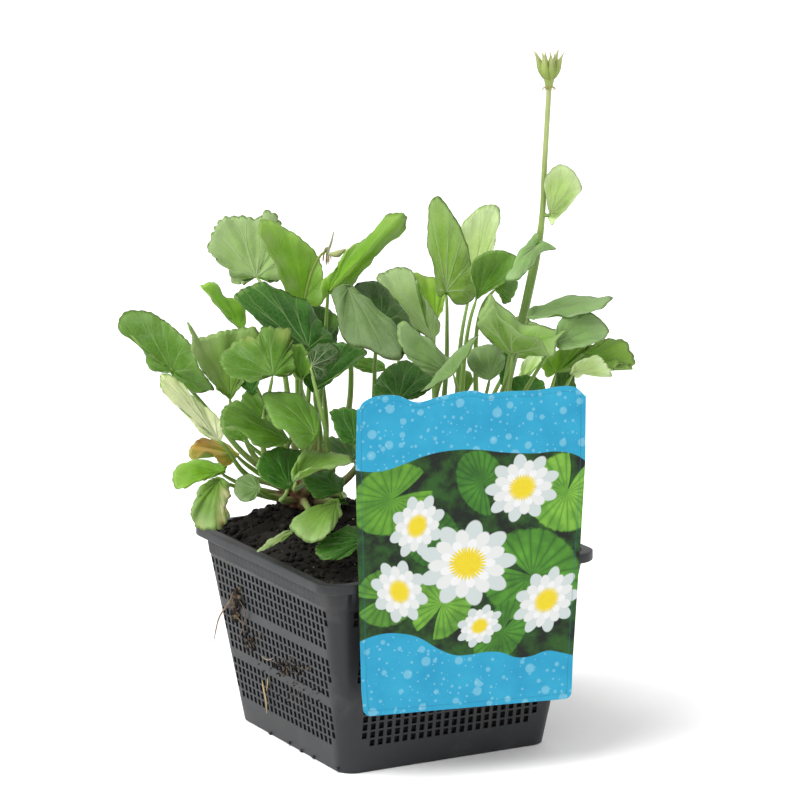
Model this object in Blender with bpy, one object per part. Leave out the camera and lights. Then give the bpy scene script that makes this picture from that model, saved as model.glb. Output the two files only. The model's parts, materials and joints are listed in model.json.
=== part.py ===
# Marsh marigold in a square pond basket, with a printed card hooked over the rim.
# The origin is the middle of the basket's flat bottom, +Z is up, and the card is on the -Y side.
# Lengths are in metres, and MM turns the sizes that are written in millimetres into metres.

import math

import bmesh
import bpy
import numpy as np
from mathutils import Matrix, Vector

MM = 0.001
GAP = 0.3 * MM  # clearance between pieces that touch

# Basket
POT_HEIGHT = 79.5 * MM
POT_FOOT_HALF = 45.6 * MM  # half of the bottom's side
POT_TAPER = 0.147  # growth of that half with height
POT_RIM_HALF = 60.4 * MM
POT_RIM_SKIRT = 3.8 * MM
POT_RIM_LEDGE = 4.2 * MM  # width of the rim's top
POT_WALL = 1.2 * MM
POT_FLOOR = 1.6 * MM
POT_CORNER = 7.0 * MM
POT_RIM_CORNER = 9.0 * MM
HOLE_TOP_ROW = 66.0 * MM  # height of the top row of holes
HOLE_ROW_STEP = 3.37 * MM
HOLE_HEIGHT = 2.3 * MM
HOLE_ROWS = [row for row in range(17) if row not in (5, 11)]  # three bands of five rows
HOLE_MARGIN = 8.0 * MM  # from the wall's outer corner to the end of a row

# Soil
SOIL_EDGE = 76.6 * MM  # its height along the wall
SOIL_UNEVEN = 1.2 * MM
SOIL_RINGS = (0.93, 0.8, 0.62, 0.42, 0.2)  # shares of the way out to the wall
CROWN_RADIUS = 9.0 * MM
CROWN_SINK = 1.5 * MM  # how far a crown's middle is below the soil's surface
CROWNS = {  # place of each root crown, and how high the soil is heaped round it
    "left": dict(x=-21.0 * MM, y=34.5 * MM, heap=12.0 * MM, spread=27.0 * MM),
    "right": dict(x=27.0 * MM, y=-2.0 * MM, heap=8.5 * MM, spread=24.0 * MM),
}

# Card
CARD_THICKNESS = 0.6 * MM
CARD_LEFT = (-48.5 * MM, -61.3 * MM)  # x, y of its left edge, which rests against the rim
CARD_TURN = math.radians(-11.0)  # its right edge stands off the basket
CARD_WIDTH = 91.4 * MM
CARD_FOOT_LEFT = 2.6 * MM  # its sides draw in towards the foot
CARD_FOOT_RIGHT = 86.6 * MM
CARD_FOOT = 28.0 * MM
CARD_TOP = 150.9 * MM
CARD_WAVE = 1.3 * MM  # height of the waves along the top edge
CARD_WAVES = 2.45  # how many there are
CARD_WAVE_START = 0.12  # share of a wave at the left end
CARD_WAVE_STEPS = 16
CARD_CORNER = 6.0 * MM
CARD_FOOT_CORNER = 2.7 * MM
HOOK_WIDTH = 20.0 * MM
HOOK_MIDDLE = 42.0 * MM  # along the card from its left edge
HOOK_DROP = 12.0 * MM  # how far it hangs inside the rim
HOOK_THICKNESS = 1.0 * MM
HOOK_CLEARANCE = 0.8 * MM  # over the rim, and behind it
HOOK_SUNK = 0.3 * MM  # how far it runs into the card

# Stalks and blades
BLADE_THICKNESS = 0.9 * MM
NOTCH_DEPTH = 0.15  # share of the way from the heart to the lobes at which the notch ends
NOTCH_BEHIND = 1.4 * MM  # from the heart to the blade's edge where it has no lobes behind the heart
FACING = 0.12  # least cosine between a blade's upper direction and each of its sectors
FACING_STEP = 0.08
FACING_ROUNDS = 200
STALK_SIDES = 4
STALK_DEPTH = 1.5 * MM  # from the heart down to the stalk's first ring, which is a narrow neck
STALK_NECK = 0.6 * MM
STALK_RADIUS_TOP = 1.1 * MM
STALK_RADIUS_FOOT = 1.5 * MM
STALK_SECTIONS = 5
CURVE_STEPS = 8  # between two stops of a stalk, before its sections are spaced out
FOOT_SPACING = 3.5 * MM
FOOT_RISE = 0.25  # how much steeper a stalk leaves its crown than straight at its blade
FOOT_LOWEST = 0.28  # sine of the flattest angle at which it may
FOOT_ROUNDS = 400
STEM_LEAF_REACH = 2.4 * MM  # from the flower stem's middle to the end of a stem leaf's stub
STEM_SECTIONS = 12
STEM_FOOT_RISE = 9.0 * MM  # how far a stem rises straight out of its crown

# The photograph's view. A point is given by its pixel (px, py) and by how far it lies behind the
# basket's middle (mm, along the level direction away from the camera).
VIEW_AZIMUTH = math.radians(-28.4)
VIEW_ELEVATION = math.radians(11.86)
VIEW_DISTANCE = 1572.0 * MM
VIEW_FOCAL_PX = 4000.0
VIEW_CENTRE_PX = 400.0
VIEW_TARGET_RIGHT = 3.18 * MM
VIEW_TARGET_UP = 134.8 * MM

RIGHT = Vector((math.cos(VIEW_AZIMUTH), math.sin(VIEW_AZIMUTH), 0.0))
AWAY = Vector((-math.sin(VIEW_AZIMUTH), math.cos(VIEW_AZIMUTH), 0.0))
UP = Vector((0.0, 0.0, 1.0))
VIEW_UP = math.sin(VIEW_ELEVATION) * AWAY + math.cos(VIEW_ELEVATION) * UP
VIEW_BACK = math.sin(VIEW_ELEVATION) * UP - math.cos(VIEW_ELEVATION) * AWAY
VIEW_FROM = RIGHT * VIEW_TARGET_RIGHT + UP * VIEW_TARGET_UP + VIEW_BACK * VIEW_DISTANCE


def leaf(name, crown, heart, margin, bulge=0.0, via=()):
    """One leaf: heart is where the stalk joins the blade, margin runs clockwise round the blade as
    its upper side is seen, from one lobe over the tip to the other, and via are points that the
    stalk passes. Each point is (px, py, away in mm). bulge raises the blade's middle (mm)."""
    return dict(name=name, crown=crown, heart=heart, margin=margin, bulge=bulge, via=via)


LEAVES = [
    # The left half, from the top down
    leaf("leaf_01", "left", (256, 277, 36),
         [(279, 279, 36), (284, 250, 42), (280, 220, 50), (270, 212, 52), (256, 218, 52),
          (236, 214, 50), (218, 222, 46), (209, 243, 40), (212, 260, 34), (230, 271, 30),
          (236, 285, 30), (249, 279, 32)]),
    leaf("leaf_02", "left", (303, 302, 14),
         [(292, 298, 3), (277, 274, 1), (266, 245, 3), (258, 221, 12), (279, 223, 18), (300, 238, 22),
          (317, 254, 22), (324, 278, 18), (321, 304, 12)]),
    leaf("leaf_03", "left", (328, 292, -10),
         [(322, 301, -14), (322, 285, -12), (337, 266, -8), (350, 248, -6), (366, 235, -6),
          (380, 225, -8), (392, 214, -14), (403, 213, -18), (409, 222, -14), (399, 232, -6),
          (386, 242, -2), (374, 255, 0), (360, 275, 0), (350, 289, -4)], via=[(324, 352, 2)]),
    leaf("leaf_04", "left", (241, 329, 42),
         [(233, 323, 32), (218, 307, 28), (206, 293, 30), (200, 286, 36), (212, 282, 44),
          (220, 289, 48), (227, 297, 48), (239, 300, 50), (247, 311, 50), (245, 326, 46)]),
    leaf("leaf_05", "left", (308, 348, -18),
         [(291, 350, -15), (268, 333, -11), (258, 318, -11), (246, 308, -12), (234, 297, -12),
          (243, 288, -6), (260, 284, -2), (280, 288, 2), (303, 300, 2), (319, 316, -2), (331, 338, -8),
          (326, 352, -14)], via=[(309, 385, -3)]),
    leaf("leaf_06", "left", (321, 352, 12),
         [(303, 345, 12), (298, 325, 16), (306, 306, 20), (322, 307, 22), (335, 313, 22),
          (339, 327, 18), (334, 348, 14)]),
    leaf("leaf_07", "left", (314, 390, -14),
         [(303, 380, -17), (306, 362, -15), (322, 348, -12), (338, 342, -13), (352, 344, -14),
          (366, 350, -16), (361, 360, -18), (345, 369, -18), (330, 383, -16)]),
    leaf("leaf_08", "left", (173, 371, 18),
         [(162, 373, 20), (148, 364, 22), (144, 350, 24), (131, 338, 24), (118, 326, 26),
          (125, 313, 30), (145, 310, 28), (163, 319, 24), (178, 331, 18), (191, 345, 12), (199, 364, 8),
          (206, 377, 6), (214, 391, 8), (198, 391, 12), (182, 382, 16)],
         bulge=2.0, via=[(208, 410, 20), (243, 453, 20)]),
    leaf("leaf_09", "left", (218, 440, 2),
         [(224, 432, 2), (219, 418, 3), (206, 406, 4), (191, 394, 3), (177, 379, 1), (163, 373, -2),
          (160, 387, -3), (172, 401, -1), (184, 413, 0), (195, 425, 0), (207, 437, 0)],
         via=[(247, 475, 12)]),
    leaf("leaf_10", "left", (230, 397, 8),
         [(215, 386, 2), (201, 367, -4), (191, 345, -2), (187, 322, 4), (198, 337, 12), (222, 331, 18),
          (246, 327, 22), (258, 330, 22), (258, 352, 20), (246, 378, 14)],
         via=[(243, 433, 12), (257, 459, 16)]),
    leaf("leaf_11", "left", (273, 375, -38),
         [(258, 379, -46), (240, 378, -46), (223, 373, -42), (220, 354, -34), (231, 344, -30),
          (249, 337, -26), (256, 341, -26), (261, 326, -22), (275, 328, -20), (291, 332, -18),
          (292, 350, -24), (294, 371, -32), (284, 377, -36)]),
    leaf("leaf_12", "left", (301, 376, -27),
         [(293, 370, -29), (290, 357, -26), (292, 345, -22), (303, 345, -20), (308, 356, -22),
          (313, 366, -28), (307, 374, -29)], bulge=-3.0),
    leaf("leaf_13", "left", (312, 366, -44),
         [(309, 373, -46), (317, 381, -46), (328, 375, -44), (327, 366, -42), (337, 361, -40),
          (339, 350, -37), (330, 343, -35), (314, 346, -35), (308, 356, -40)], via=[(327, 440, -42)]),
    leaf("leaf_14", "left", (348, 287, -24),
         [(356, 289, -22), (372, 309, -27), (392, 322, -33), (405, 339, -38), (404, 356, -42),
          (397, 361, -42), (384, 358, -42), (367, 349, -40), (350, 346, -38), (340, 332, -36),
          (337, 312, -32), (331, 294, -26), (339, 287, -23)], bulge=1.5),
    # The middle
    leaf("leaf_15", "left", (382, 322, -16),
         [(366, 315, -18), (354, 300, -12), (356, 284, -4), (375, 281, 2), (388, 291, 0),
          (399, 304, -4), (412, 325, -10), (398, 330, -16)]),
    leaf("leaf_16", "right", (431, 339, 2),
         [(441, 328, 6), (437, 316, 8), (428, 302, 12), (419, 288, 16), (411, 270, 22), (394, 268, 22),
          (377, 275, 18), (381, 287, 14), (396, 297, 8), (401, 312, 4), (413, 323, 0), (424, 334, 0)],
         via=[(437, 366, 4)]),
    leaf("leaf_17", "right", (436, 318, 36),
         [(425, 301, 36), (414, 286, 40), (411, 273, 44), (425, 275, 48), (440, 281, 48),
          (446, 294, 44), (442, 311, 38)]),
    leaf("leaf_18", "right", (446, 292, -8),
         [(456, 305, -8), (469, 303, -6), (476, 290, -5), (472, 262, -2), (461, 229, 2), (450, 209, 5),
          (438, 196, 8), (429, 206, 6), (427, 228, 3), (429, 252, -1), (434, 274, -5), (439, 296, -8)],
         bulge=-1.5, via=[(447, 345, -4)]),
    leaf("leaf_19", "right", (469, 297, 26),
         [(460, 275, 26), (457, 250, 32), (461, 227, 38), (470, 215, 42), (482, 206, 46),
          (498, 206, 48), (500, 221, 44), (495, 242, 38), (489, 262, 32), (480, 285, 26)],
         via=[(460, 350, 12)]),
    leaf("leaf_20", "right", (477, 298, -16),
         [(474, 285, -18), (471, 264, -16), (484, 253, -10), (500, 250, -4), (517, 256, -2),
          (514, 267, -6), (507, 280, -11), (492, 289, -14)]),
    leaf("leaf_21", "right", (497, 288, 2),
         [(507, 280, 6), (519, 282, 10), (516, 291, 9), (511, 301, 6), (504, 304, 3), (499, 297, 1)]),
    leaf("leaf_22", "right", (512, 353, -46),
         [(479, 322, -40), (485, 304, -36), (493, 292, -33), (507, 311, -31), (522, 324, -29),
          (545, 327, -29), (566, 327, -33), (558, 338, -42), (553, 360, -49), (540, 337, -57),
          (518, 334, -60), (504, 324, -59), (495, 303, -54), (484, 314, -52), (477, 331, -48)]),
    leaf("leaf_23", "right", (529, 317, -20),
         [(531, 308, -14), (549, 302, -8), (568, 296, -4), (592, 296, -4), (613, 298, -10),
          (600, 309, -20), (580, 315, -26), (556, 315, -28), (541, 319, -27)]),
    leaf("leaf_24", "right", (556, 343, -38),
         [(555, 330, -33), (563, 317, -26), (580, 313, -20), (595, 314, -17), (609, 331, -20),
          (597, 343, -30), (578, 348, -38), (563, 351, -42)]),
    leaf("leaf_25", "right", (556, 372, -22),
         [(547, 378, -24), (541, 367, -22), (543, 356, -18), (556, 350, -14), (575, 348, -10),
          (592, 343, -6), (608, 337, -4), (624, 343, -4), (635, 358, -8), (632, 366, -12),
          (620, 362, -14), (614, 369, -18), (600, 358, -22), (582, 357, -24), (567, 368, -25)]),
    leaf("leaf_26", "right", (573, 373, -36),
         [(578, 378, -30), (589, 369, -28), (601, 370, -30), (612, 377, -36), (607, 364, -42),
          (597, 356, -45), (583, 359, -43), (572, 367, -40)]),
    leaf("leaf_27", "right", (562, 400, -14),
         [(551, 392, -16), (555, 374, -12), (569, 357, -8), (579, 360, -8), (574, 374, -11),
          (576, 392, -14)]),
    leaf("leaf_28", "right", (519, 386, 32),
         [(519, 378, 32), (521, 366, 36), (529, 356, 40), (543, 356, 40), (541, 362, 36),
          (531, 370, 32)]),
    leaf("leaf_29", "right", (447, 372, -36),
         [(436, 379, -38), (418, 367, -42), (405, 355, -44), (398, 338, -44), (400, 322, -40),
          (412, 327, -36), (430, 341, -32), (447, 355, -30), (456, 366, -32)]),
    leaf("leaf_30", "right", (453, 374, -48),
         [(445, 379, -50), (432, 387, -52), (420, 392, -50), (434, 377, -44), (448, 358, -38),
          (462, 347, -35), (472, 338, -36), (480, 335, -40), (468, 350, -46), (460, 366, -49)]),
    leaf("leaf_31", "right", (398, 400, -30),
         [(377, 403, -30), (373, 387, -25), (384, 371, -18), (406, 359, -10), (424, 371, -12),
          (438, 380, -16), (421, 396, -25)]),
    leaf("leaf_32", "right", (490, 378, -40),
         [(478, 377, -40), (469, 367, -37), (467, 357, -33), (472, 349, -29), (484, 345, -25),
          (497, 346, -24), (505, 356, -27), (502, 371, -35)]),
    # The left half, lower down
    leaf("leaf_33", "left", (314, 436, -50),
         [(304, 450, -54), (295, 445, -55), (286, 432, -55), (275, 427, -53), (267, 412, -48),
          (262, 397, -42), (270, 391, -38), (288, 392, -34), (303, 397, -32), (314, 407, -35),
          (320, 421, -42)], bulge=1.5, via=[(306, 462, -32)]),
    leaf("leaf_34", "left", (286, 440, -37),
         [(276, 447, -41), (256, 446, -45), (244, 435, -46), (232, 425, -46), (221, 425, -45),
          (221, 412, -40), (229, 403, -34), (238, 401, -30), (252, 414, -27), (270, 422, -27),
          (285, 431, -31)]),
    leaf("leaf_35", "left", (270, 424, 4),
         [(258, 420, 2), (246, 410, 4), (241, 400, 8), (245, 392, 12), (255, 391, 13), (263, 401, 10),
          (268, 413, 6)]),
    leaf("leaf_36", "left", (289, 486, -44),
         [(277, 488, -50), (265, 480, -50), (256, 467, -48), (262, 454, -42), (275, 448, -37),
          (290, 448, -33), (302, 452, -31), (298, 466, -36), (294, 478, -41)]),
    leaf("leaf_37", "left", (296, 481, -52),
         [(291, 472, -54), (299, 458, -50), (312, 451, -46), (330, 452, -43), (345, 455, -43),
          (354, 460, -46), (344, 466, -52), (330, 469, -57), (312, 469, -60), (301, 474, -57)],
         bulge=3.0),
    leaf("leaf_38", "left", (340, 490, -30),
         [(318, 499, -36), (307, 489, -34), (302, 477, -28), (315, 471, -22), (333, 472, -18),
          (344, 480, -22)]),
    leaf("leaf_39", "left", (337, 503, -40),
         [(341, 514, -46), (335, 527, -53), (322, 540, -58), (308, 542, -58), (296, 535, -55),
          (289, 525, -50), (300, 515, -46), (316, 510, -42), (328, 503, -40)], bulge=1.5),
    leaf("leaf_40", "right", (366, 539, -50),
         [(352, 553, -58), (335, 560, -61), (322, 560, -61), (315, 550, -57), (322, 538, -50),
          (338, 530, -46), (357, 525, -43)]),
    leaf("leaf_41", "left", (294, 531, -45),
         [(287, 537, -44), (270, 547, -43), (257, 553, -44), (268, 541, -50), (281, 533, -52)],
         via=[(312, 522, -28)]),
    leaf("leaf_42", "left", (222, 473, 14),
         [(208, 479, 8), (194, 483, 6), (178, 490, 4), (172, 478, 8), (178, 466, 14), (190, 461, 20),
          (206, 460, 24), (218, 464, 23), (226, 467, 19)],
         bulge=1.0, via=[(246, 486, 18), (268, 492, 20)]),
    leaf("leaf_43", "left", (219, 481, 0),
         [(229, 483, -2), (231, 494, -7), (225, 508, -12), (228, 520, -14), (219, 530, -17),
          (205, 530, -18), (195, 526, -16), (191, 509, -12), (197, 495, -7), (205, 483, -2)],
         bulge=2.0, via=[(243, 489, 8), (266, 496, 16)]),
    leaf("leaf_44", "left", (258, 488, -4),
         [(254, 500, -9), (243, 502, -10), (235, 495, -7), (234, 487, -2), (238, 478, 3), (248, 474, 5),
          (257, 478, 3)]),
    leaf("leaf_45", "left", (237, 454, 12),
         [(227, 466, 4), (215, 459, -2), (206, 451, -5), (191, 460, -8), (189, 450, -2), (199, 439, 6),
          (211, 438, 12), (226, 444, 15)], via=[(257, 472, 18)]),
    leaf("leaf_46", "right", (354, 441, -46),
         [(342, 442, -50), (334, 427, -47), (330, 411, -40), (345, 408, -35), (361, 412, -34),
          (364, 430, -41)]),
    leaf("leaf_47", "right", (353, 458, -26),
         [(338, 454, -30), (322, 447, -28), (327, 438, -20), (345, 438, -15), (360, 445, -18)]),
    # The far side, which the photograph doesn't show
    leaf("leaf_48", "left", (290, 352, 42),
         [(306, 356, 46), (316, 336, 52), (310, 312, 60), (290, 300, 64), (270, 310, 60),
          (264, 334, 52), (274, 355, 45)]),
    leaf("leaf_49", "right", (395, 350, 42),
         [(408, 353, 46), (420, 336, 52), (417, 312, 61), (400, 296, 66), (382, 304, 63),
          (372, 328, 54), (380, 350, 46)]),
    leaf("leaf_50", "right", (515, 356, 38),
         [(530, 358, 43), (543, 344, 50), (542, 328, 60), (524, 316, 66), (503, 322, 60),
          (495, 342, 49), (501, 357, 42)]),
]

FLOWER_STEM = dict(
    crown="right", sides=8,
    points=[(549, 89, -4), (546, 140, -4), (544, 175, -4), (543, 205, -4), (540, 235, -3),
            (534, 266, -2), (523, 317, 1), (511, 365, 4), (498, 430, 8)],
    radii=[1.1 * MM, 1.1 * MM, 1.2 * MM, 1.6 * MM, 1.8 * MM, 2.0 * MM, 2.1 * MM, 2.2 * MM, 2.3 * MM,
           2.4 * MM],
)
STEM_LEAVES = [
    dict(name="stem_leaf_upper", heart=(551, 214, -5),
         margin=[(549, 203, -12), (546, 188, -14), (546, 174, -12), (556, 166, -6), (564, 165, -4),
                 (574, 171, -2), (582, 188, -2), (575, 200, -4), (564, 211, -6), (552, 226, -8)],
         bulge=-1.5),
    dict(name="stem_leaf_lower", heart=(537, 246, -10),
         margin=[(537, 234, -7), (528, 240, -8), (521, 250, -12), (513, 264, -18), (505, 281, -24),
                 (517, 281, -26), (528, 271, -22), (536, 260, -16), (543, 252, -13), (556, 249, -10),
                 (546, 245, -8)],
         bulge=-2.0),
]
SEED_HEAD = dict(
    base=(549, 89, -4), throat=(549, 80, -4), hub_top=2.5 * MM, hub_radii=[1.5 * MM, 2.2 * MM, 1.6 * MM],
    sides=8, pods=9, pod_sides=5, pod_root=0.8 * MM,
    spread=4.6 * MM, inner_spread=2.5 * MM, length=12.0 * MM,
    pod_radii=[0.9 * MM, 1.5 * MM, 1.6 * MM, 1.1 * MM, 0.25 * MM],
)
SPENT_FLOWER = dict(
    crown="left", sides=6,
    points=[(327, 250, 2), (320, 256, 3), (312, 272, 5), (306, 295, 6), (302, 320, 6), (297, 360, 5),
            (296, 420, 8)],
    radii=[0.9 * MM, 0.9 * MM],
    hub=1.8 * MM, stamens=6, stamen_root=0.5 * MM, stamen_length=6.5 * MM,
    stamen_radii=[0.55 * MM, 0.3 * MM],
)

COLOURS = {  # base colour (linear), roughness
    "black_plastic": ((0.045, 0.046, 0.052), 0.45),
    "peat": ((0.018, 0.013, 0.010), 0.95),
    "card": ((0.05, 0.38, 0.68), 0.35),
    "green_leaf": ((0.115, 0.27, 0.045), 0.5),
    "stem_green": ((0.30, 0.42, 0.09), 0.5),
    "crown_brown": ((0.14, 0.08, 0.035), 0.8),
}


def clear_scene():
    for item in list(bpy.data.objects):
        bpy.data.objects.remove(item, do_unlink=True)


def material(name):
    """The named Principled BSDF material."""
    found = bpy.data.materials.get(name)
    if found:
        return found
    made = bpy.data.materials.new(name)
    made.use_nodes = True
    shader = made.node_tree.nodes["Principled BSDF"]
    colour, roughness = COLOURS[name]
    shader.inputs["Base Color"].default_value = (*colour, 1.0)
    shader.inputs["Roughness"].default_value = roughness
    made.diffuse_color = (*colour, 1.0)
    return made


def solid(name, points, faces, finish, smooth=True):
    """A closed mesh object from points and faces, its faces turned outwards."""
    mesh = bpy.data.meshes.new(name)
    mesh.from_pydata([tuple(p) for p in points], [], [tuple(f) for f in faces])
    form = bmesh.new()
    form.from_mesh(mesh)
    bmesh.ops.recalc_face_normals(form, faces=form.faces)
    form.to_mesh(mesh)
    form.free()
    if smooth:
        mesh.shade_smooth()
    mesh.materials.append(material(finish))
    made = bpy.data.objects.new(name, mesh)
    bpy.context.collection.objects.link(made)
    return made


def photo_point(pixel):
    """The point at pixel (px, py), away mm behind the basket's middle."""
    px, py, away = pixel
    sight = RIGHT * (px - VIEW_CENTRE_PX) + VIEW_UP * (VIEW_CENTRE_PX - py) - VIEW_BACK * VIEW_FOCAL_PX
    reach = (away * MM - VIEW_FROM.dot(AWAY)) / sight.dot(AWAY)
    return VIEW_FROM + sight * reach


def smooth_path(points, count):
    """count points evenly along the Catmull-Rom curve through the given points."""
    fixed = np.array([tuple(p) for p in points])
    padded = np.vstack([2 * fixed[0] - fixed[1], fixed, 2 * fixed[-1] - fixed[-2]])
    dense = []
    for before, start, end, after in zip(padded, padded[1:], padded[2:], padded[3:]):
        t = np.linspace(0.0, 1.0, 12, endpoint=False)[:, None]
        dense.append(0.5 * (2 * start + (end - before) * t
                            + (2 * before - 5 * start + 4 * end - after) * t**2
                            + (3 * start - 3 * end + after - before) * t**3))
    dense = np.vstack([*dense, fixed[-1]])
    walked = np.concatenate([[0.0], np.cumsum(np.linalg.norm(np.diff(dense, axis=0), axis=1))])
    stops = np.linspace(0.0, walked[-1], count)
    return [Vector([np.interp(stop, walked, dense[:, axis]) for axis in range(3)]) for stop in stops]


def side_frames(path):
    """Two directions square to the path at each of its points, carried along without twist."""
    frames = []
    across = None
    for here in range(len(path)):
        ahead = path[min(here + 1, len(path) - 1)] - path[max(here - 1, 0)]
        ahead.normalize()
        across = ahead.orthogonal() if across is None else across - ahead * across.dot(ahead)
        across = across.normalized()
        frames.append((across, ahead.cross(across)))
    return frames


def tube(path, radii, sides):
    """Points and faces of a closed tube along the path, with flat ends."""
    points = []
    for centre, radius, (across, beside) in zip(path, radii, side_frames(path)):
        for side in range(sides):
            angle = 2 * math.pi * side / sides
            points.append(centre + (across * math.cos(angle) + beside * math.sin(angle)) * radius)
    faces = [tuple(range(sides)), tuple(range(len(points) - sides, len(points)))]
    for ring in range(len(path) - 1):
        for side in range(sides):
            low, high = ring * sides + side, ring * sides + (side + 1) % sides
            faces.append((low, high, high + sides, low + sides))
    return points, faces


def rounded_square(half, corner, height, steps=4):
    """A level ring of points round a square with rounded corners."""
    ring = []
    for quarter in range(4):
        turn = math.pi / 2 * quarter
        middle = Vector((half - corner, half - corner))
        for step in range(steps + 1):
            angle = math.pi / 2 * step / steps
            flat = middle + corner * Vector((math.cos(angle), math.sin(angle)))
            flat.rotate(Matrix.Rotation(turn, 2))
            ring.append(Vector((flat.x, flat.y, height)))
    return ring


def loft(rings):
    """Points and faces of the closed body through rings of equal length, capped at both ends."""
    count = len(rings[0])
    points = [p for ring in rings for p in ring]
    faces = [tuple(range(count)), tuple(range(len(points) - count, len(points)))]
    for ring in range(len(rings) - 1):
        for step in range(count):
            low, high = ring * count + step, ring * count + (step + 1) % count
            faces.append((low, high, high + count, low + count))
    return points, faces


def cut(target, cutter):
    """Takes the cutter's shape out of the target."""
    cutter.hide_render = True
    cutter.display_type = "WIRE"
    trim = target.modifiers.new("Cut", "BOOLEAN")
    trim.operation = "DIFFERENCE"
    trim.object = cutter


def wall_half(height):
    """Half the side of the basket's outer wall at a height."""
    return POT_FOOT_HALF + POT_TAPER * height


def make_pot():
    top_inner = POT_RIM_HALF - POT_RIM_LEDGE
    skirt = POT_HEIGHT - POT_RIM_SKIRT
    inner_corner = POT_CORNER - POT_WALL
    rings = [
        rounded_square(wall_half(0.0), POT_CORNER, 0.0),
        rounded_square(wall_half(skirt), POT_CORNER, skirt),
        rounded_square(POT_RIM_HALF, POT_RIM_CORNER, skirt),
        rounded_square(POT_RIM_HALF, POT_RIM_CORNER, POT_HEIGHT),
        rounded_square(top_inner, inner_corner, POT_HEIGHT),
        rounded_square(wall_half(POT_FLOOR) - POT_WALL, inner_corner, POT_FLOOR),
    ]
    pot = solid("pot", *loft(rings), "black_plastic", smooth=False)
    for axis in "xy":
        cut(pot, hole_rows(axis))


def hole_rows(axis):
    """A cutter of level bars, one for each row of holes, that pierce both walls across an axis."""
    form = bmesh.new()
    for row in HOLE_ROWS:
        height = HOLE_TOP_ROW - HOLE_ROW_STEP * row
        along = 2 * (wall_half(height) - HOLE_MARGIN)
        through = 4 * POT_RIM_HALF
        size = (along, through) if axis == "x" else (through, along)
        place = Matrix.Translation((0, 0, height)) @ Matrix.Diagonal((*size, HOLE_HEIGHT, 1.0))
        bmesh.ops.create_cube(form, size=1.0, matrix=place)
    mesh = bpy.data.meshes.new("hole_rows_" + axis)
    form.to_mesh(mesh)
    form.free()
    cutter = bpy.data.objects.new(mesh.name, mesh)
    bpy.context.collection.objects.link(cutter)
    return cutter


def soil_height(x, y):
    """Height of the soil's surface: level near the wall and heaped round each crown."""
    inner = wall_half(SOIL_EDGE) - POT_WALL
    edge = max(0.0, 1.0 - (max(abs(x), abs(y)) / inner) ** 10)
    height = SOIL_EDGE + SOIL_UNEVEN * math.sin(x * 95.0) * math.cos(y * 80.0) * edge
    for crown in CROWNS.values():
        away = ((x - crown["x"]) ** 2 + (y - crown["y"]) ** 2) / crown["spread"] ** 2
        height += crown["heap"] * math.exp(-away / 2) * edge
    return height


def crown_centre(crown):
    x, y = CROWNS[crown]["x"], CROWNS[crown]["y"]
    return Vector((x, y, soil_height(x, y) - CROWN_SINK))


def knob(name, centre, radius):
    """A closed ball of few faces."""
    form = bmesh.new()
    bmesh.ops.create_uvsphere(form, u_segments=12, v_segments=8, radius=radius)
    bmesh.ops.translate(form, vec=centre, verts=form.verts)
    points = [v.co.copy() for v in form.verts]
    faces = [tuple(v.index for v in f.verts) for f in form.faces]
    form.free()
    return solid(name, points, faces, "crown_brown")


def make_soil():
    low = POT_FLOOR + GAP
    foot = wall_half(low) - POT_WALL - GAP
    edge = wall_half(SOIL_EDGE) - POT_WALL - GAP
    corner = POT_CORNER - POT_WALL
    rings = [rounded_square(foot, corner, low), rounded_square(edge, corner, SOIL_EDGE)]
    for share in SOIL_RINGS:
        ring = rounded_square(edge * share, corner * share, 0.0)
        rings.append([Vector((p.x, p.y, soil_height(p.x, p.y))) for p in ring])
    soil = solid("soil", *loft(rings), "peat")
    for crown in CROWNS:
        cut(soil, knob("crown_pit_" + crown, crown_centre(crown), CROWN_RADIUS + GAP))
    cut(soil, solid("hook_room", *hook_bar(GAP), "peat"))


def make_crowns():
    for crown in CROWNS:
        knob("crown_" + crown, crown_centre(crown), CROWN_RADIUS)


def card_frame():
    """The card's left edge on the ground, the direction along it and the one out of its front."""
    along = Vector((math.cos(CARD_TURN), math.sin(CARD_TURN), 0.0))
    out = Vector((math.sin(CARD_TURN), -math.cos(CARD_TURN), 0.0))
    return Vector((*CARD_LEFT, 0.0)), along, out


def corner(across, up, radius, first, last, steps):
    """Points of an arc round (across, up), from the first to the last angle (degrees)."""
    angles = np.radians(np.linspace(first, last, steps))
    return [(across + radius * math.cos(angle), up + radius * math.sin(angle)) for angle in angles]


def card_outline():
    """The card's outline (along, up): waves along the top, straight sides, rounded corners."""
    outline = []
    left, right = CARD_CORNER, CARD_WIDTH - CARD_CORNER
    for share in np.linspace(0.0, 1.0, CARD_WAVE_STEPS + 1):
        wave = math.sin(2 * math.pi * (CARD_WAVES * share + CARD_WAVE_START))
        up = CARD_TOP + CARD_WAVE * wave * (1.0 - 0.5 * share)
        outline.append((left + (right - left) * share, up))
    top, foot = CARD_TOP - CARD_CORNER, CARD_FOOT + CARD_FOOT_CORNER
    outline += corner(right, top, CARD_CORNER, 60, 0, 3)
    outline += corner(CARD_FOOT_RIGHT - CARD_FOOT_CORNER, foot, CARD_FOOT_CORNER, 0, -90, 3)
    outline += corner(CARD_FOOT_LEFT + CARD_FOOT_CORNER, foot, CARD_FOOT_CORNER, -90, -180, 3)
    outline += corner(left, top, CARD_CORNER, 180, 110, 3)
    return outline


def plate(outline, origin, along, up, out, thickness):
    """Points and faces of a flat plate with the given outline."""
    points = [origin + along * u + up * v + out * side for side in (0.0, thickness) for u, v in outline]
    count = len(outline)
    faces = [tuple(range(count)), tuple(range(count, 2 * count))]
    faces += [(i, (i + 1) % count, (i + 1) % count + count, i + count) for i in range(count)]
    return points, faces


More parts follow.
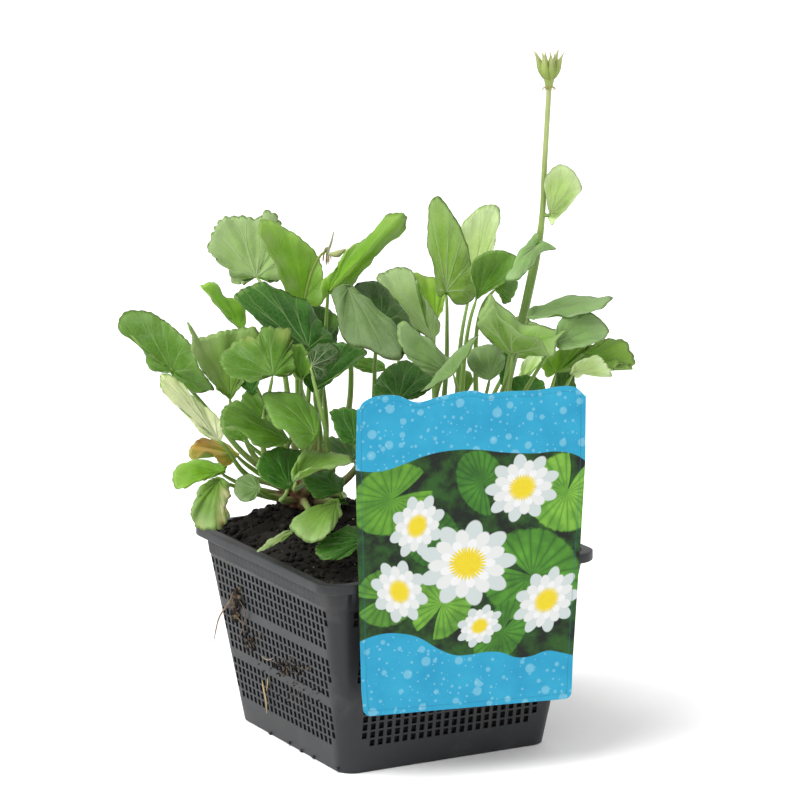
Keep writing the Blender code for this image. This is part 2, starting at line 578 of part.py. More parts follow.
def hook_section(grow):
    """Section of the card's hook (inwards from the card, up): over the rim and down inside it."""
    start, along, _ = card_frame()
    inner = HOOK_CLEARANCE - (POT_RIM_HALF - POT_RIM_LEDGE) - (start + along * HOOK_MIDDLE).y
    over = POT_HEIGHT + HOOK_CLEARANCE
    low = over - HOOK_DROP
    lean = POT_TAPER * HOOK_DROP
    thick = HOOK_THICKNESS + grow
    return [(-HOOK_SUNK, over - grow), (inner - grow, over - grow),
            (inner + lean - grow, low - grow), (inner + lean + thick, low - grow),
            (inner + thick, over + thick), (-HOOK_SUNK, over + thick)]


def hook_bar(grow):
    """Points and faces of the hook, a bent strip square to the basket's side. grow widens it all round,
    and its end at the card follows the card's turn."""
    start, along, _ = card_frame()
    section = hook_section(grow)
    count = len(section)
    points = []
    for end in (-HOOK_WIDTH / 2 - grow, HOOK_WIDTH / 2 + grow):
        for depth, height in section:
            inwards = depth + (end * along.y / along.x if depth < 0.0 else 0.0)
            points.append(start + along * HOOK_MIDDLE + Vector((end, inwards, height)))
    faces = [tuple(range(count)), tuple(range(count, 2 * count))]
    faces += [(i, (i + 1) % count, (i + 1) % count + count, i + count) for i in range(count)]
    return points, faces


def unite(target, pieces):
    """Joins the pieces, which stay hidden, to the target as one body."""
    for piece in pieces:
        piece.hide_render = True
        piece.display_type = "WIRE"
        joined = target.modifiers.new(piece.name, "BOOLEAN")
        joined.operation = "UNION"
        joined.object = piece


def make_label():
    start, along, out = card_frame()
    shape = plate(card_outline(), start, along, UP, out, CARD_THICKNESS)
    card = solid("label", *shape, "card", smooth=False)
    unite(card, [solid("label_hook", *hook_bar(0.0), "card", smooth=False)])


def blade_frame(heart, margin):
    """The notch between the lobes, and the direction of the blade's upper side: its mean, turned as
    far as it takes for every sector of a folded blade to face it. Where the margin stays on one side
    of the heart, the notch is just behind the heart."""
    notch = heart + NOTCH_DEPTH * ((margin[0] + margin[-1]) / 2 - heart)
    blade = sum(margin, Vector()) / len(margin) - heart
    if (notch - heart).dot(blade) > 0.0:
        notch = heart - blade.normalized() * NOTCH_BEHIND
    spokes = [rim - heart for rim in (notch, *margin, notch)]
    sectors = [after.cross(here) for here, after in zip(spokes, spokes[1:])]
    upper = sum(sectors[1:-1], Vector()).normalized()
    for _ in range(FACING_ROUNDS):
        least = min((sector.normalized() for sector in sectors), key=upper.dot)
        if least.dot(upper) > FACING:
            break
        upper = (upper + least * FACING_STEP).normalized()
    return notch, upper


def stalk_path(heart, leaving, foot, foot_direction, via):
    """A smooth path from the heart to the foot, leaving both in the given directions: one cubic curve
    between each two stops, with handles of a quarter to a third of its length."""
    stops = [heart, *via, foot]
    path = []
    for here, (start, end) in enumerate(zip(stops, stops[1:])):
        reach = (end - start).length
        out = (end - stops[here - 1]).normalized() * 0.33 if here else leaving * 0.25
        last = here == len(stops) - 2
        back = foot_direction * 0.38 if last else (start - stops[here + 2]).normalized() * 0.33
        handle_out, handle_back = start + out * reach, end + back * reach
        for t in np.arange(CURVE_STEPS) / CURVE_STEPS:
            path.append(start * (1 - t) ** 3 + handle_out * 3 * t * (1 - t) ** 2
                        + handle_back * 3 * t * t * (1 - t) + end * t**3)
    return smooth_path([*path, foot], STALK_SECTIONS + 1)


def leaf_shape(heart, margin, bulge, path):
    """Points and faces of a blade, thin towards its margin, grown from the stalk along path."""
    notch, upper = blade_frame(heart, margin)
    edge = [notch, *margin]
    count = len(edge)
    half = BLADE_THICKNESS / 2
    top_ring, low_ring = [], []
    for step, rim in enumerate(edge):
        across = (edge[(step + 1) % count] - edge[step - 1]).cross(rim - heart)
        lift = across.normalized() if across.length > 0.0 else upper
        middle = (heart + rim) / 2 + upper * bulge
        top_ring.append(middle + lift * half)
        low_ring.append(middle - lift * half)
    points = [heart + upper * half, *top_ring, *edge, *low_ring]
    top, rim, low = 1, 1 + count, 1 + 2 * count
    faces = []
    for step in range(count):
        after = (step + 1) % count
        faces.append((0, top + step, top + after))
        faces.append((top + step, rim + step, rim + after, top + after))
        faces.append((low + step, low + after, rim + after, rim + step))
    stalk = len(points)
    radii = [STALK_NECK, *np.linspace(STALK_RADIUS_TOP, STALK_RADIUS_FOOT, len(path) - 1)]
    frames = stalk_frames(path, notch - heart, upper)
    for centre, radius, (across, beside) in zip(path, radii, frames):
        for side in range(STALK_SIDES):
            angle = 2 * math.pi * (side + 0.5) / STALK_SIDES
            points.append(centre + (across * math.cos(angle) + beside * math.sin(angle)) * radius)
    for ring in range(stalk, len(points) - STALK_SIDES, STALK_SIDES):
        for side in range(STALK_SIDES):
            here, after = ring + side, ring + (side + 1) % STALK_SIDES
            faces.append((here, after, after + STALK_SIDES, here + STALK_SIDES))
    faces.append(tuple(range(len(points) - STALK_SIDES, len(points))))
    return points, faces + collar(low_ring, heart, frames[0], low, stalk)


def collar(ring, heart, frame, first, stalk):
    """Faces between the blade's lower ring and the stalk's first ring. Each point of the ring is joined
    to the stalk's corner that lies in its own direction from the heart."""
    across, beside = frame
    faces = []
    corner = 0
    for step in range(len(ring)):
        after = (step + 1) % len(ring)
        spoke = ring[after] - heart
        turn = math.atan2(spoke.dot(beside), spoke.dot(across)) % (2 * math.pi)
        target = int(STALK_SIDES * turn / (2 * math.pi)) if after else STALK_SIDES
        faces.append((first + step, stalk + corner % STALK_SIDES, first + after))
        while corner < target:
            here, then = corner % STALK_SIDES, (corner + 1) % STALK_SIDES
            faces.append((stalk + here, stalk + then, first + after))
            corner += 1
    return faces


def stalk_frames(path, notch_side, upper):
    """Frames along the stalk. The first lies in the blade and in line with its notch, so that the two
    join untwisted."""
    frames = []
    across = notch_side
    for here in range(len(path)):
        ahead = (path[min(here + 1, len(path) - 1)] - path[here - 1]).normalized() if here else -upper
        across = (across - ahead * across.dot(ahead)).normalized()
        frames.append((across, ahead.cross(across)))
    return frames


def foot_directions(hearts, centre):
    """Where each stalk leaves the crown: towards its blade but steeper, and pushed apart until no two
    are closer than the foot spacing."""
    found = np.array([(heart - centre).normalized() + UP * FOOT_RISE for heart in hearts])
    found /= np.linalg.norm(found, axis=1)[:, None]
    closest = FOOT_SPACING / (CROWN_RADIUS + GAP)
    for _ in range(FOOT_ROUNDS):
        apart = found[:, None, :] - found[None, :, :]
        distance = np.linalg.norm(apart, axis=2) + 1e-9
        push = np.clip(closest * 1.02 - distance, 0.0, None) / distance
        np.fill_diagonal(push, 0.0)
        found = found + 0.5 * (apart * push[:, :, None]).sum(axis=1)
        found[:, 2] = np.maximum(found[:, 2], FOOT_LOWEST)
        found /= np.linalg.norm(found, axis=1)[:, None]
    return [Vector(f) for f in found]


def place_feet():
    """The foot of each leaf's stalk and of the two stems on its crown, and the direction it takes."""
    feet = {}
    stems = {"flower_stem": FLOWER_STEM, "spent_flower": SPENT_FLOWER}
    for crown in CROWNS:
        growing = {item["name"]: item["heart"] for item in LEAVES if item["crown"] == crown}
        growing |= {name: stem["points"][-1] for name, stem in stems.items() if stem["crown"] == crown}
        centre = crown_centre(crown)
        directions = foot_directions([photo_point(p) for p in growing.values()], centre)
        for name, direction in zip(growing, directions):
            feet[name] = (centre + direction * (CROWN_RADIUS + 1.4 * GAP), direction)
    return feet


def make_leaves(feet):
    for item in LEAVES:
        heart = photo_point(item["heart"])
        margin = [photo_point(p) for p in item["margin"]]
        via = [photo_point(p) for p in item["via"]]
        foot, direction = feet[item["name"]]
        notch, upper = blade_frame(heart, margin)
        leaving = (foot - heart).normalized() * 0.8 - upper * 0.7 + (notch - heart).normalized() * 0.4
        leaving -= upper * max(0.0, leaving.dot(upper) + 0.25)
        start = heart - upper * STALK_DEPTH
        path = stalk_path(start, leaving.normalized(), foot, direction, via)
        solid(item["name"], *leaf_shape(heart, margin, item["bulge"] * MM, path), "green_leaf")


def make_stem(name, stem, foot, direction):
    """A round stem through its points and down to its foot. Gives back its object and its path."""
    points = [photo_point(p) for p in stem["points"]]
    path = smooth_path([*points, foot + direction * STEM_FOOT_RISE, foot], STEM_SECTIONS)
    shares = np.linspace(0, 1, len(stem["radii"]))
    radii = np.interp(np.linspace(0, 1, len(path)), shares, stem["radii"])
    return solid(name, *tube(path, radii, stem["sides"]), "stem_green"), path


def make_stem_leaves(stem_path):
    """Leaves that sit on the flower stem, each with a short stub that ends just clear of it."""
    for item in STEM_LEAVES:
        heart = photo_point(item["heart"])
        margin = [photo_point(p) for p in item["margin"]]
        base = heart - blade_frame(heart, margin)[1] * STALK_DEPTH
        axis = min(smooth_path(stem_path, 120), key=lambda p: (p - base).length)
        end = axis + (base - axis).normalized() * STEM_LEAF_REACH
        solid(item["name"], *leaf_shape(heart, margin, item["bulge"] * MM, [base, end]), "green_leaf")


def pod_path(pod, throat):
    """The curve of one follicle, from the throat outwards and up to its beak."""
    angle = 2 * math.pi * pod / SEED_HEAD["pods"] + 0.3
    outwards = RIGHT * math.cos(angle) + AWAY * math.sin(angle)
    spread = SEED_HEAD["spread"] if pod % 3 else SEED_HEAD["inner_spread"]
    start = throat + outwards * SEED_HEAD["pod_root"]
    length = SEED_HEAD["length"]
    return smooth_path([start, start + outwards * spread * 0.55 + UP * length * 0.35,
                        start + outwards * spread + UP * length * 0.8,
                        start + outwards * spread * 1.25 + UP * length], len(SEED_HEAD["pod_radii"]))


def make_seed_head():
    """A short hub with follicles that spread upwards in a ring, each a pointed pod, fused to the hub."""
    base, throat = photo_point(SEED_HEAD["base"]), photo_point(SEED_HEAD["throat"])
    stops = [base + UP * GAP, throat, throat + UP * SEED_HEAD["hub_top"]]
    hub = solid("seed_head", *tube(stops, SEED_HEAD["hub_radii"], SEED_HEAD["sides"]), "stem_green")
    pods = []
    for pod in range(SEED_HEAD["pods"]):
        shape = tube(pod_path(pod, throat), SEED_HEAD["pod_radii"], SEED_HEAD["pod_sides"])
        pods.append(solid(f"follicle_{pod}", *shape, "stem_green"))
    unite(hub, pods)


def make_spent_flower(foot, direction):
    """A thin stalk with a small hub of dried stamens at its end."""
    stalk, path = make_stem("spent_flower", SPENT_FLOWER, foot, direction)
    pieces = [knob("spent_hub", path[0], SPENT_FLOWER["hub"])]
    for stamen in range(SPENT_FLOWER["stamens"]):
        angle = 2 * math.pi * stamen / SPENT_FLOWER["stamens"] + 0.35
        outwards = RIGHT * math.cos(angle) + UP * math.sin(angle) + AWAY * (0.5 if stamen % 2 else -0.5)
        outwards.normalize()
        ends = [path[0] + outwards * SPENT_FLOWER[end] for end in ("stamen_root", "stamen_length")]
        shape = tube(ends, SPENT_FLOWER["stamen_radii"], 4)
        pieces.append(solid(f"stamen_{stamen}", *shape, "stem_green"))
    unite(stalk, pieces)


def main():
    clear_scene()
    make_pot()
    make_soil()
    make_crowns()
    make_label()
    feet = place_feet()
    make_leaves(feet)
    make_stem_leaves(make_stem("flower_stem", FLOWER_STEM, *feet["flower_stem"])[1])
    make_seed_head()
    make_spent_flower(*feet["spent_flower"])


main()
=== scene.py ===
import json
import math

import bmesh
import bpy
import numpy as np
from mathutils import Matrix

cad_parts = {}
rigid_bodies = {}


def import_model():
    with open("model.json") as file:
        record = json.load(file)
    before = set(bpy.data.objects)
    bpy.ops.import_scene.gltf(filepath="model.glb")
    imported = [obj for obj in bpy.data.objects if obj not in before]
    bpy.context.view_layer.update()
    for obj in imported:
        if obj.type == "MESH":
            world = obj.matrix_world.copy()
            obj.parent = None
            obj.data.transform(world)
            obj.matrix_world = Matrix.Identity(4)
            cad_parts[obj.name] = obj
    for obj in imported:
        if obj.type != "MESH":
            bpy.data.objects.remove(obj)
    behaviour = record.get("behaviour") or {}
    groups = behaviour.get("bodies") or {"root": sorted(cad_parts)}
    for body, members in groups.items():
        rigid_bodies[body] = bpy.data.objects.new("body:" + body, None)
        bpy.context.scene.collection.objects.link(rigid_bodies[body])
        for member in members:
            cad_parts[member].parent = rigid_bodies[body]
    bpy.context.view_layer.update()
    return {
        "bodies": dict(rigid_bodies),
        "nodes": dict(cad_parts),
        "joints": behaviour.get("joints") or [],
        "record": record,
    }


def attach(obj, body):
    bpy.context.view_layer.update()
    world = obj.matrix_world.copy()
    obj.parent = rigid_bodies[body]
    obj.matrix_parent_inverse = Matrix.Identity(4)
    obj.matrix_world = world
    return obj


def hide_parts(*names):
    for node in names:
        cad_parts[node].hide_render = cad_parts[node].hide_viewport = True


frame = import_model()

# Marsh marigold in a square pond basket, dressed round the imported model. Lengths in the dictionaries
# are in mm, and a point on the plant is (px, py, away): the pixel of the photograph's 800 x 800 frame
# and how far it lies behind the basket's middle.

mm = 0.001
weldReach = 1e-7  # m, points closer than this are one

camera = dict(azimuth=-28.4, elevation=11.86, distance=1572.0, aimRight=3.18, aimUp=134.8,
              focalPixels=4000.0, imagePixels=800.0, sensor=36.0)

azimuth, elevation = math.radians(camera["azimuth"]), math.radians(camera["elevation"])
right = np.array([math.cos(azimuth), math.sin(azimuth), 0.0])
away = np.array([-math.sin(azimuth), math.cos(azimuth), 0.0])
up = np.array([0.0, 0.0, 1.0])
viewUp = math.sin(elevation) * away + math.cos(elevation) * up
viewBack = math.sin(elevation) * up - math.cos(elevation) * away
viewFrom = (right * camera["aimRight"] + up * camera["aimUp"] + viewBack * camera["distance"]) * mm


burntOut = 0.62  # the studio is lit so that its floor burns out to white: colours, given as they look in the
# photo, are darkened by as much


def linearColour(hexCode):
    # sRGB to linear: a straight piece near black, then a power of 2.4
    share = np.array([int(hexCode[place:place + 2], 16) for place in (1, 3, 5)]) / 255
    return (np.where(share <= 0.04045, share / 12.92, ((share + 0.055) / 1.055) ** 2.4)) * burntOut


def unit(vectors):
    return vectors / np.maximum(np.linalg.norm(vectors, axis=-1, keepdims=True), 1e-12)


def sightLines(pixels):
    middle = camera["imagePixels"] / 2
    pixels = np.atleast_2d(np.asarray(pixels, float))
    return ((pixels[:, :1] - middle) * right + (middle - pixels[:, 1:2]) * viewUp - camera["focalPixels"]
            * viewBack)


def photoPoint(pixels):
    # Each pixel's sight line, followed to its own distance behind the basket's middle
    sight = sightLines(pixels)
    reach = (np.atleast_2d(np.asarray(pixels, float))[:, 2] * mm - viewFrom @ away) / (sight @ away)
    return viewFrom + sight * reach[:, None]


def evenly(path, count):
    # Points at even distances along a path of straight pieces
    walked = np.append(0.0, np.cumsum(np.linalg.norm(np.diff(path, axis=0), axis=1)))
    stops = np.linspace(0.0, walked[-1], count)
    return np.stack([np.interp(stops, walked, path[:, axis]) for axis in range(3)], axis=1)


def smoothPath(points, count):
    # Catmull-Rom: on each span a cubic of t through its two ends, with slopes from their neighbours
    points = np.asarray(points, float)
    padded = np.vstack([2 * points[0] - points[1], points, 2 * points[-1] - points[-2]])
    before, start, end, after = (padded[shift:len(padded) - 3 + shift, None] for shift in range(4))
    t = np.linspace(0.0, 1.0, 12, endpoint=False)[None, :, None]
    dense = 0.5 * (2 * start + (end - before) * t + (2 * before - 5 * start + 4 * end - after) * t**2
                   + (3 * start - 3 * end + after - before) * t**3)
    return evenly(np.vstack([dense.reshape(-1, 3), points[-1:]]), count)


def pathFrames(path):
    # Across is the tangent crossed with the fixed axis that stays furthest from every tangent
    ahead = unit(np.gradient(path, axis=0))
    axes = unit(np.array([(1, 0, 0), (0, 1, 0), (0, 0, 1), (1, 1, 0), (1, -1, 0), (1, 0, 1), (0, 1, 1)],
                         float))
    clear = np.linalg.norm(np.cross(ahead[None], axes[:, None]), axis=2).min(axis=1)
    across = unit(np.cross(ahead, axes[clear.argmax()]))
    return across, np.cross(ahead, across)


def gridPatch(points, uv=0.0, tint=0.5, slot=0, flip=False, keep=None):
    # Quads between neighbours of a grid of points; axes before the last two count separate grids
    shape = points.shape[:-1]
    index = np.arange(int(np.prod(shape))).reshape(shape)
    quads = np.stack([index[..., :-1, :-1], index[..., :-1, 1:], index[..., 1:, 1:], index[..., 1:, :-1]],
                     axis=-1)
    quads = quads.reshape(-1, 4) if keep is None else quads[keep]
    return dict(points=points.reshape(-1, 3), faces=quads[:, ::-1] if flip else quads, slot=slot,
                uv=np.broadcast_to(uv, (*shape, 2)).reshape(-1, 2),
                tint=np.broadcast_to(tint, (*shape, 3)).reshape(-1, 3))


def tubePatch(path, radii, sides, tint=0.5, slot=0, ribs=0, ribDepth=0.0, squash=1.0):
    # point(s, angle) = path(s) + radius(s) (1 + ribDepth cos(ribs angle)) (across cos + beside sin),
    # closed to its axis at both ends
    across, beside = (np.vstack([frame[:1], frame, frame[-1:]])[:, None] for frame in pathFrames(path))
    angle = np.linspace(0.0, 2 * np.pi, sides + 1)[None, :, None]
    radius = np.concatenate([[0.0], np.broadcast_to(radii, len(path)), [0.0]])[:, None, None]
    radius = radius * (1 + ribDepth * np.cos(ribs * angle))
    middle = np.vstack([path[:1], path, path[-1:]])[:, None]
    points = middle + radius * (across * np.cos(angle) + beside * np.sin(angle) * squash)
    length = np.linspace(0.0, 1.0, len(path) + 2)[:, None]
    uv = np.stack(np.broadcast_arrays(angle[..., 0] / (2 * np.pi), length), axis=-1)
    tint = np.asarray(tint)
    if tint.ndim == 2:
        tint = np.vstack([tint[:1], tint, tint[-1:]])[:, None]
    return gridPatch(points, uv, tint, slot)


def ballPatch(centres, radii, rows, columns, tint, slot=0, lumps=0.0, draw=None):
    # Balls point(lat, lon) = centre + radius (cos lat cos lon, cos lat sin lon, sin lat), each with
    # its own three radii and with lumps, a share of random swelling that is level at the poles
    lat = np.linspace(-np.pi / 2, np.pi / 2, rows)[:, None]
    lon = np.linspace(0.0, 2 * np.pi, columns)[None, :]
    ball = np.stack(np.broadcast_arrays(np.cos(lat) * np.cos(lon), np.cos(lat) * np.sin(lon), np.sin(lat)),
                    axis=-1)
    points = np.broadcast_to(ball, (len(centres), *ball.shape)).copy()
    if lumps:
        swell = 1 + lumps * draw.uniform(-1, 1, (len(centres), rows, columns, 1))
        swell[:, [0, -1]] = 1.0
        swell[:, :, -1] = swell[:, :, 0]
        points *= swell
    points = centres[:, None, None] + points * radii[:, None, None]
    return gridPatch(points, 0.0, np.asarray(tint)[:, None, None], slot)


def meshPiece(name, patches, finishes, nodes=(), sharpAngle=None):
    starts = np.cumsum([0] + [len(patch["points"]) for patch in patches])
    points = np.vstack([patch["points"] for patch in patches])
    faces = np.vstack([patch["faces"] + start for patch, start in zip(patches, starts)])
    uv = np.vstack([patch["uv"] for patch in patches])
    tint = np.vstack([patch["tint"] for patch in patches])
    kinds = np.repeat([patch["slot"] for patch in patches], [len(patch["faces"]) for patch in patches])
    mesh = bpy.data.meshes.new(name)
    mesh.vertices.add(len(points))
    mesh.vertices.foreach_set("co", points.astype("f4").ravel())
    mesh.loops.add(faces.size)
    mesh.loops.foreach_set("vertex_index", faces.astype("i4").ravel())
    mesh.polygons.add(len(faces))
    mesh.polygons.foreach_set("loop_start", np.arange(0, faces.size, 4, dtype="i4"))
    mesh.polygons.foreach_set("material_index", kinds.astype("i4"))
    mesh.update(calc_edges=True)
    mesh.uv_layers.new(name="surface").data.foreach_set("uv", uv[faces.ravel()].astype("f4").ravel())
    rgba = np.hstack([tint, np.ones((len(tint), 1))]).astype("f4")
    mesh.color_attributes.new("tint", "FLOAT_COLOR", "POINT").data.foreach_set("color", rgba.ravel())
    form = bmesh.new()
    form.from_mesh(mesh)
    bmesh.ops.remove_doubles(form, verts=form.verts, dist=weldReach)  # closes seams and poles
    form.to_mesh(mesh)
    form.free()
    mesh.shade_smooth()
    if sharpAngle:
        mesh.set_sharp_from_angle(angle=math.radians(sharpAngle))
    for finish in finishes:
        mesh.materials.append(finish)
    piece = bpy.data.objects.new(name, mesh)
    bpy.context.collection.objects.link(piece)
    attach(piece, "root")
    if nodes:
        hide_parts(*nodes)
    return piece


def addNode(tree, kind, inputs=None, **settings):
    node = tree.nodes.new("ShaderNode" + kind)
    for name, value in settings.items():
        setattr(node, name, value)
    for name, value in (inputs or {}).items():
        if isinstance(value, bpy.types.NodeSocket):
            tree.links.new(value, node.inputs[name])
        else:
            node.inputs[name].default_value = value
    return node.outputs


def newFinish(name):
    finish = bpy.data.materials.new(name)
    finish.use_nodes = True
    finish.node_tree.nodes.clear()
    return finish, finish.node_tree


def rgba(hexCode):
    return (*linearColour(hexCode), 1.0)


# camera, light and floor
studio = dict(world=0.88, keySun=dict(turn=-60, height=52, strength=3.1, spread=45),
              fillSun=dict(turn=30, height=35, strength=0.35, spread=60), floor=0.93, floorHalf=30.0)


def makeStudio():
    scene = bpy.context.scene
    scene.view_settings.view_transform = "Standard"  # the photo shows full, clear colours
    lens = bpy.data.cameras.new("photoCamera")
    lens.sensor_width = camera["sensor"]
    lens.lens = camera["focalPixels"] * camera["sensor"] / camera["imagePixels"]
    lens.clip_end = 100.0
    holder = bpy.data.objects.new("photoCamera", lens)
    turn = np.eye(4)
    turn[:3, 0], turn[:3, 1], turn[:3, 2], turn[:3, 3] = right, viewUp, viewBack, viewFrom
    holder.matrix_world = Matrix(turn.tolist())
    scene.collection.objects.link(holder)
    scene.camera = holder
    world = bpy.data.worlds.new("softStudio")
    world.use_nodes = True
    background = world.node_tree.nodes["Background"]
    background.inputs["Color"].default_value = (1.0, 1.0, 1.0, 1.0)
    background.inputs["Strength"].default_value = studio["world"]
    scene.world = world
    for name in ("keySun", "fillSun"):
        settings = studio[name]
        light = bpy.data.lights.new(name, "SUN")
        light.energy = settings["strength"]
        light.angle = math.radians(settings["spread"])
        lamp = bpy.data.objects.new(name, light)
        side, rise = azimuth + math.radians(settings["turn"]), math.radians(settings["height"])
        # turned from the camera's own direction, and raised above the floor
        toward = np.array([math.sin(side) * math.cos(rise), -math.cos(side) * math.cos(rise), math.sin(rise)])
        across = unit(np.cross(up, toward))
        turn = np.eye(4)
        turn[:3, 0], turn[:3, 1], turn[:3, 2] = across, np.cross(toward, across), toward
        lamp.matrix_world = Matrix(turn.tolist())
        scene.collection.objects.link(lamp)
    floor, tree = newFinish("mattPaperFloor")  # a matt paper sweep, which gives a pale even ground
    shader = addNode(tree, "BsdfPrincipled", {"Base Color": (studio["floor"], studio["floor"],
                                                             studio["floor"], 1.0), "Roughness": 0.9,
                                               "Specular IOR Level": 0.1})
    addNode(tree, "OutputMaterial", {"Surface": shader[0]})
    half = studio["floorHalf"]
    mesh = bpy.data.meshes.new("studioFloor")
    mesh.from_pydata([(-half, -half, 0), (half, -half, 0), (half, half, 0), (-half, half, 0)], [],
                     [(0, 1, 2, 3)])
    mesh.materials.append(floor)
    ground = bpy.data.objects.new("studioFloor", mesh)
    scene.collection.objects.link(ground)


makeStudio()
print("studio ready")


# basket
basket = dict(height=79.5, footHalf=45.6, taper=0.147, corner=7.0, wall=1.2, floor=1.6,
              rimHalf=60.4, rimCorner=9.0, rimSkirt=3.8, rimLedge=4.2, rimRound=0.45,
              holePitch=3.6, holeWidth=2.1, rowPitch=3.37, holeHeight=2.6, topRow=66.0, columns=28,
              rows=[row for row in range(17) if row not in (5, 11)], cornerReach=2.2, frontReach=-1.4,
              ribRise=0.6, ribFrom=68.4, ribTo=75.2)


def wallHalf(height):
    return basket["footHalf"] + basket["taper"] * height


def perimeter(half, corner, height, places, lift=0.0):
    # One side of a rounded square, then its three turned copies. places are distances along the side
    # from its middle: straight up to half - corner, then round the corner's arc as far as 45 degrees
    flat = half - corner
    angle = np.clip((np.abs(places) - flat) / max(corner, 1e-9), 0.0, np.pi / 4)
    x = np.sign(places) * (np.minimum(np.abs(places), flat) + corner * np.sin(angle))
    y = -(flat + corner * np.cos(angle) + lift)
    z = np.full(len(places), height)
    sides = [np.stack([x * c - y * s, x * s + y * c, z], axis=-1)
             for c, s in ((1, 0), (0, 1), (-1, 0), (0, -1))]
    return np.concatenate([side[:-1] for side in sides] + [sides[0][:1]]) * mm


def mouldedPolypropylene():
    # Injection-moulded polypropylene, carbon black: a satin dark grey whose broad soft gloss goes pale
    # where the studio light grazes it, with peat dust in its grain
    finish, tree = newFinish("mouldedPolypropylene")
    place = addNode(tree, "TexCoord")["Object"]
    grain = addNode(tree, "TexNoise", {"Vector": place, "Scale": 1 / (0.6 * mm), "Detail": 3.0})[0]
    cloud = addNode(tree, "TexNoise", {"Vector": place, "Scale": 1 / (22 * mm), "Detail": 5.0,
                                       "Roughness": 0.62})[0]
    dust = addNode(tree, "MapRange", {"Value": cloud, "From Min": 0.5, "From Max": 0.72, "To Max": 0.4},
                   interpolation_type="SMOOTHSTEP")[0]
    dark = addNode(tree, "Mix", {0: dust, 6: rgba(basketLook["plastic"]), 7: rgba(basketLook["dust"])},
                   data_type="RGBA")[2]
    gloss = addNode(tree, "MapRange", {"Value": cloud, "To Min": 0.34, "To Max": 0.58})[0]
    bump = addNode(tree, "Bump", {"Height": grain, "Strength": 0.25, "Distance": 0.08 * mm})[0]
    shader = addNode(tree, "BsdfPrincipled", {"Base Color": dark, "Roughness": gloss, "IOR": 1.49,
                                              "Normal": bump,
                                               "Specular IOR Level": 0.4})
    addNode(tree, "OutputMaterial", {"Surface": shader[0]})
    return finish


basketLook = dict(plastic="#26282C", dust="#5B5853")


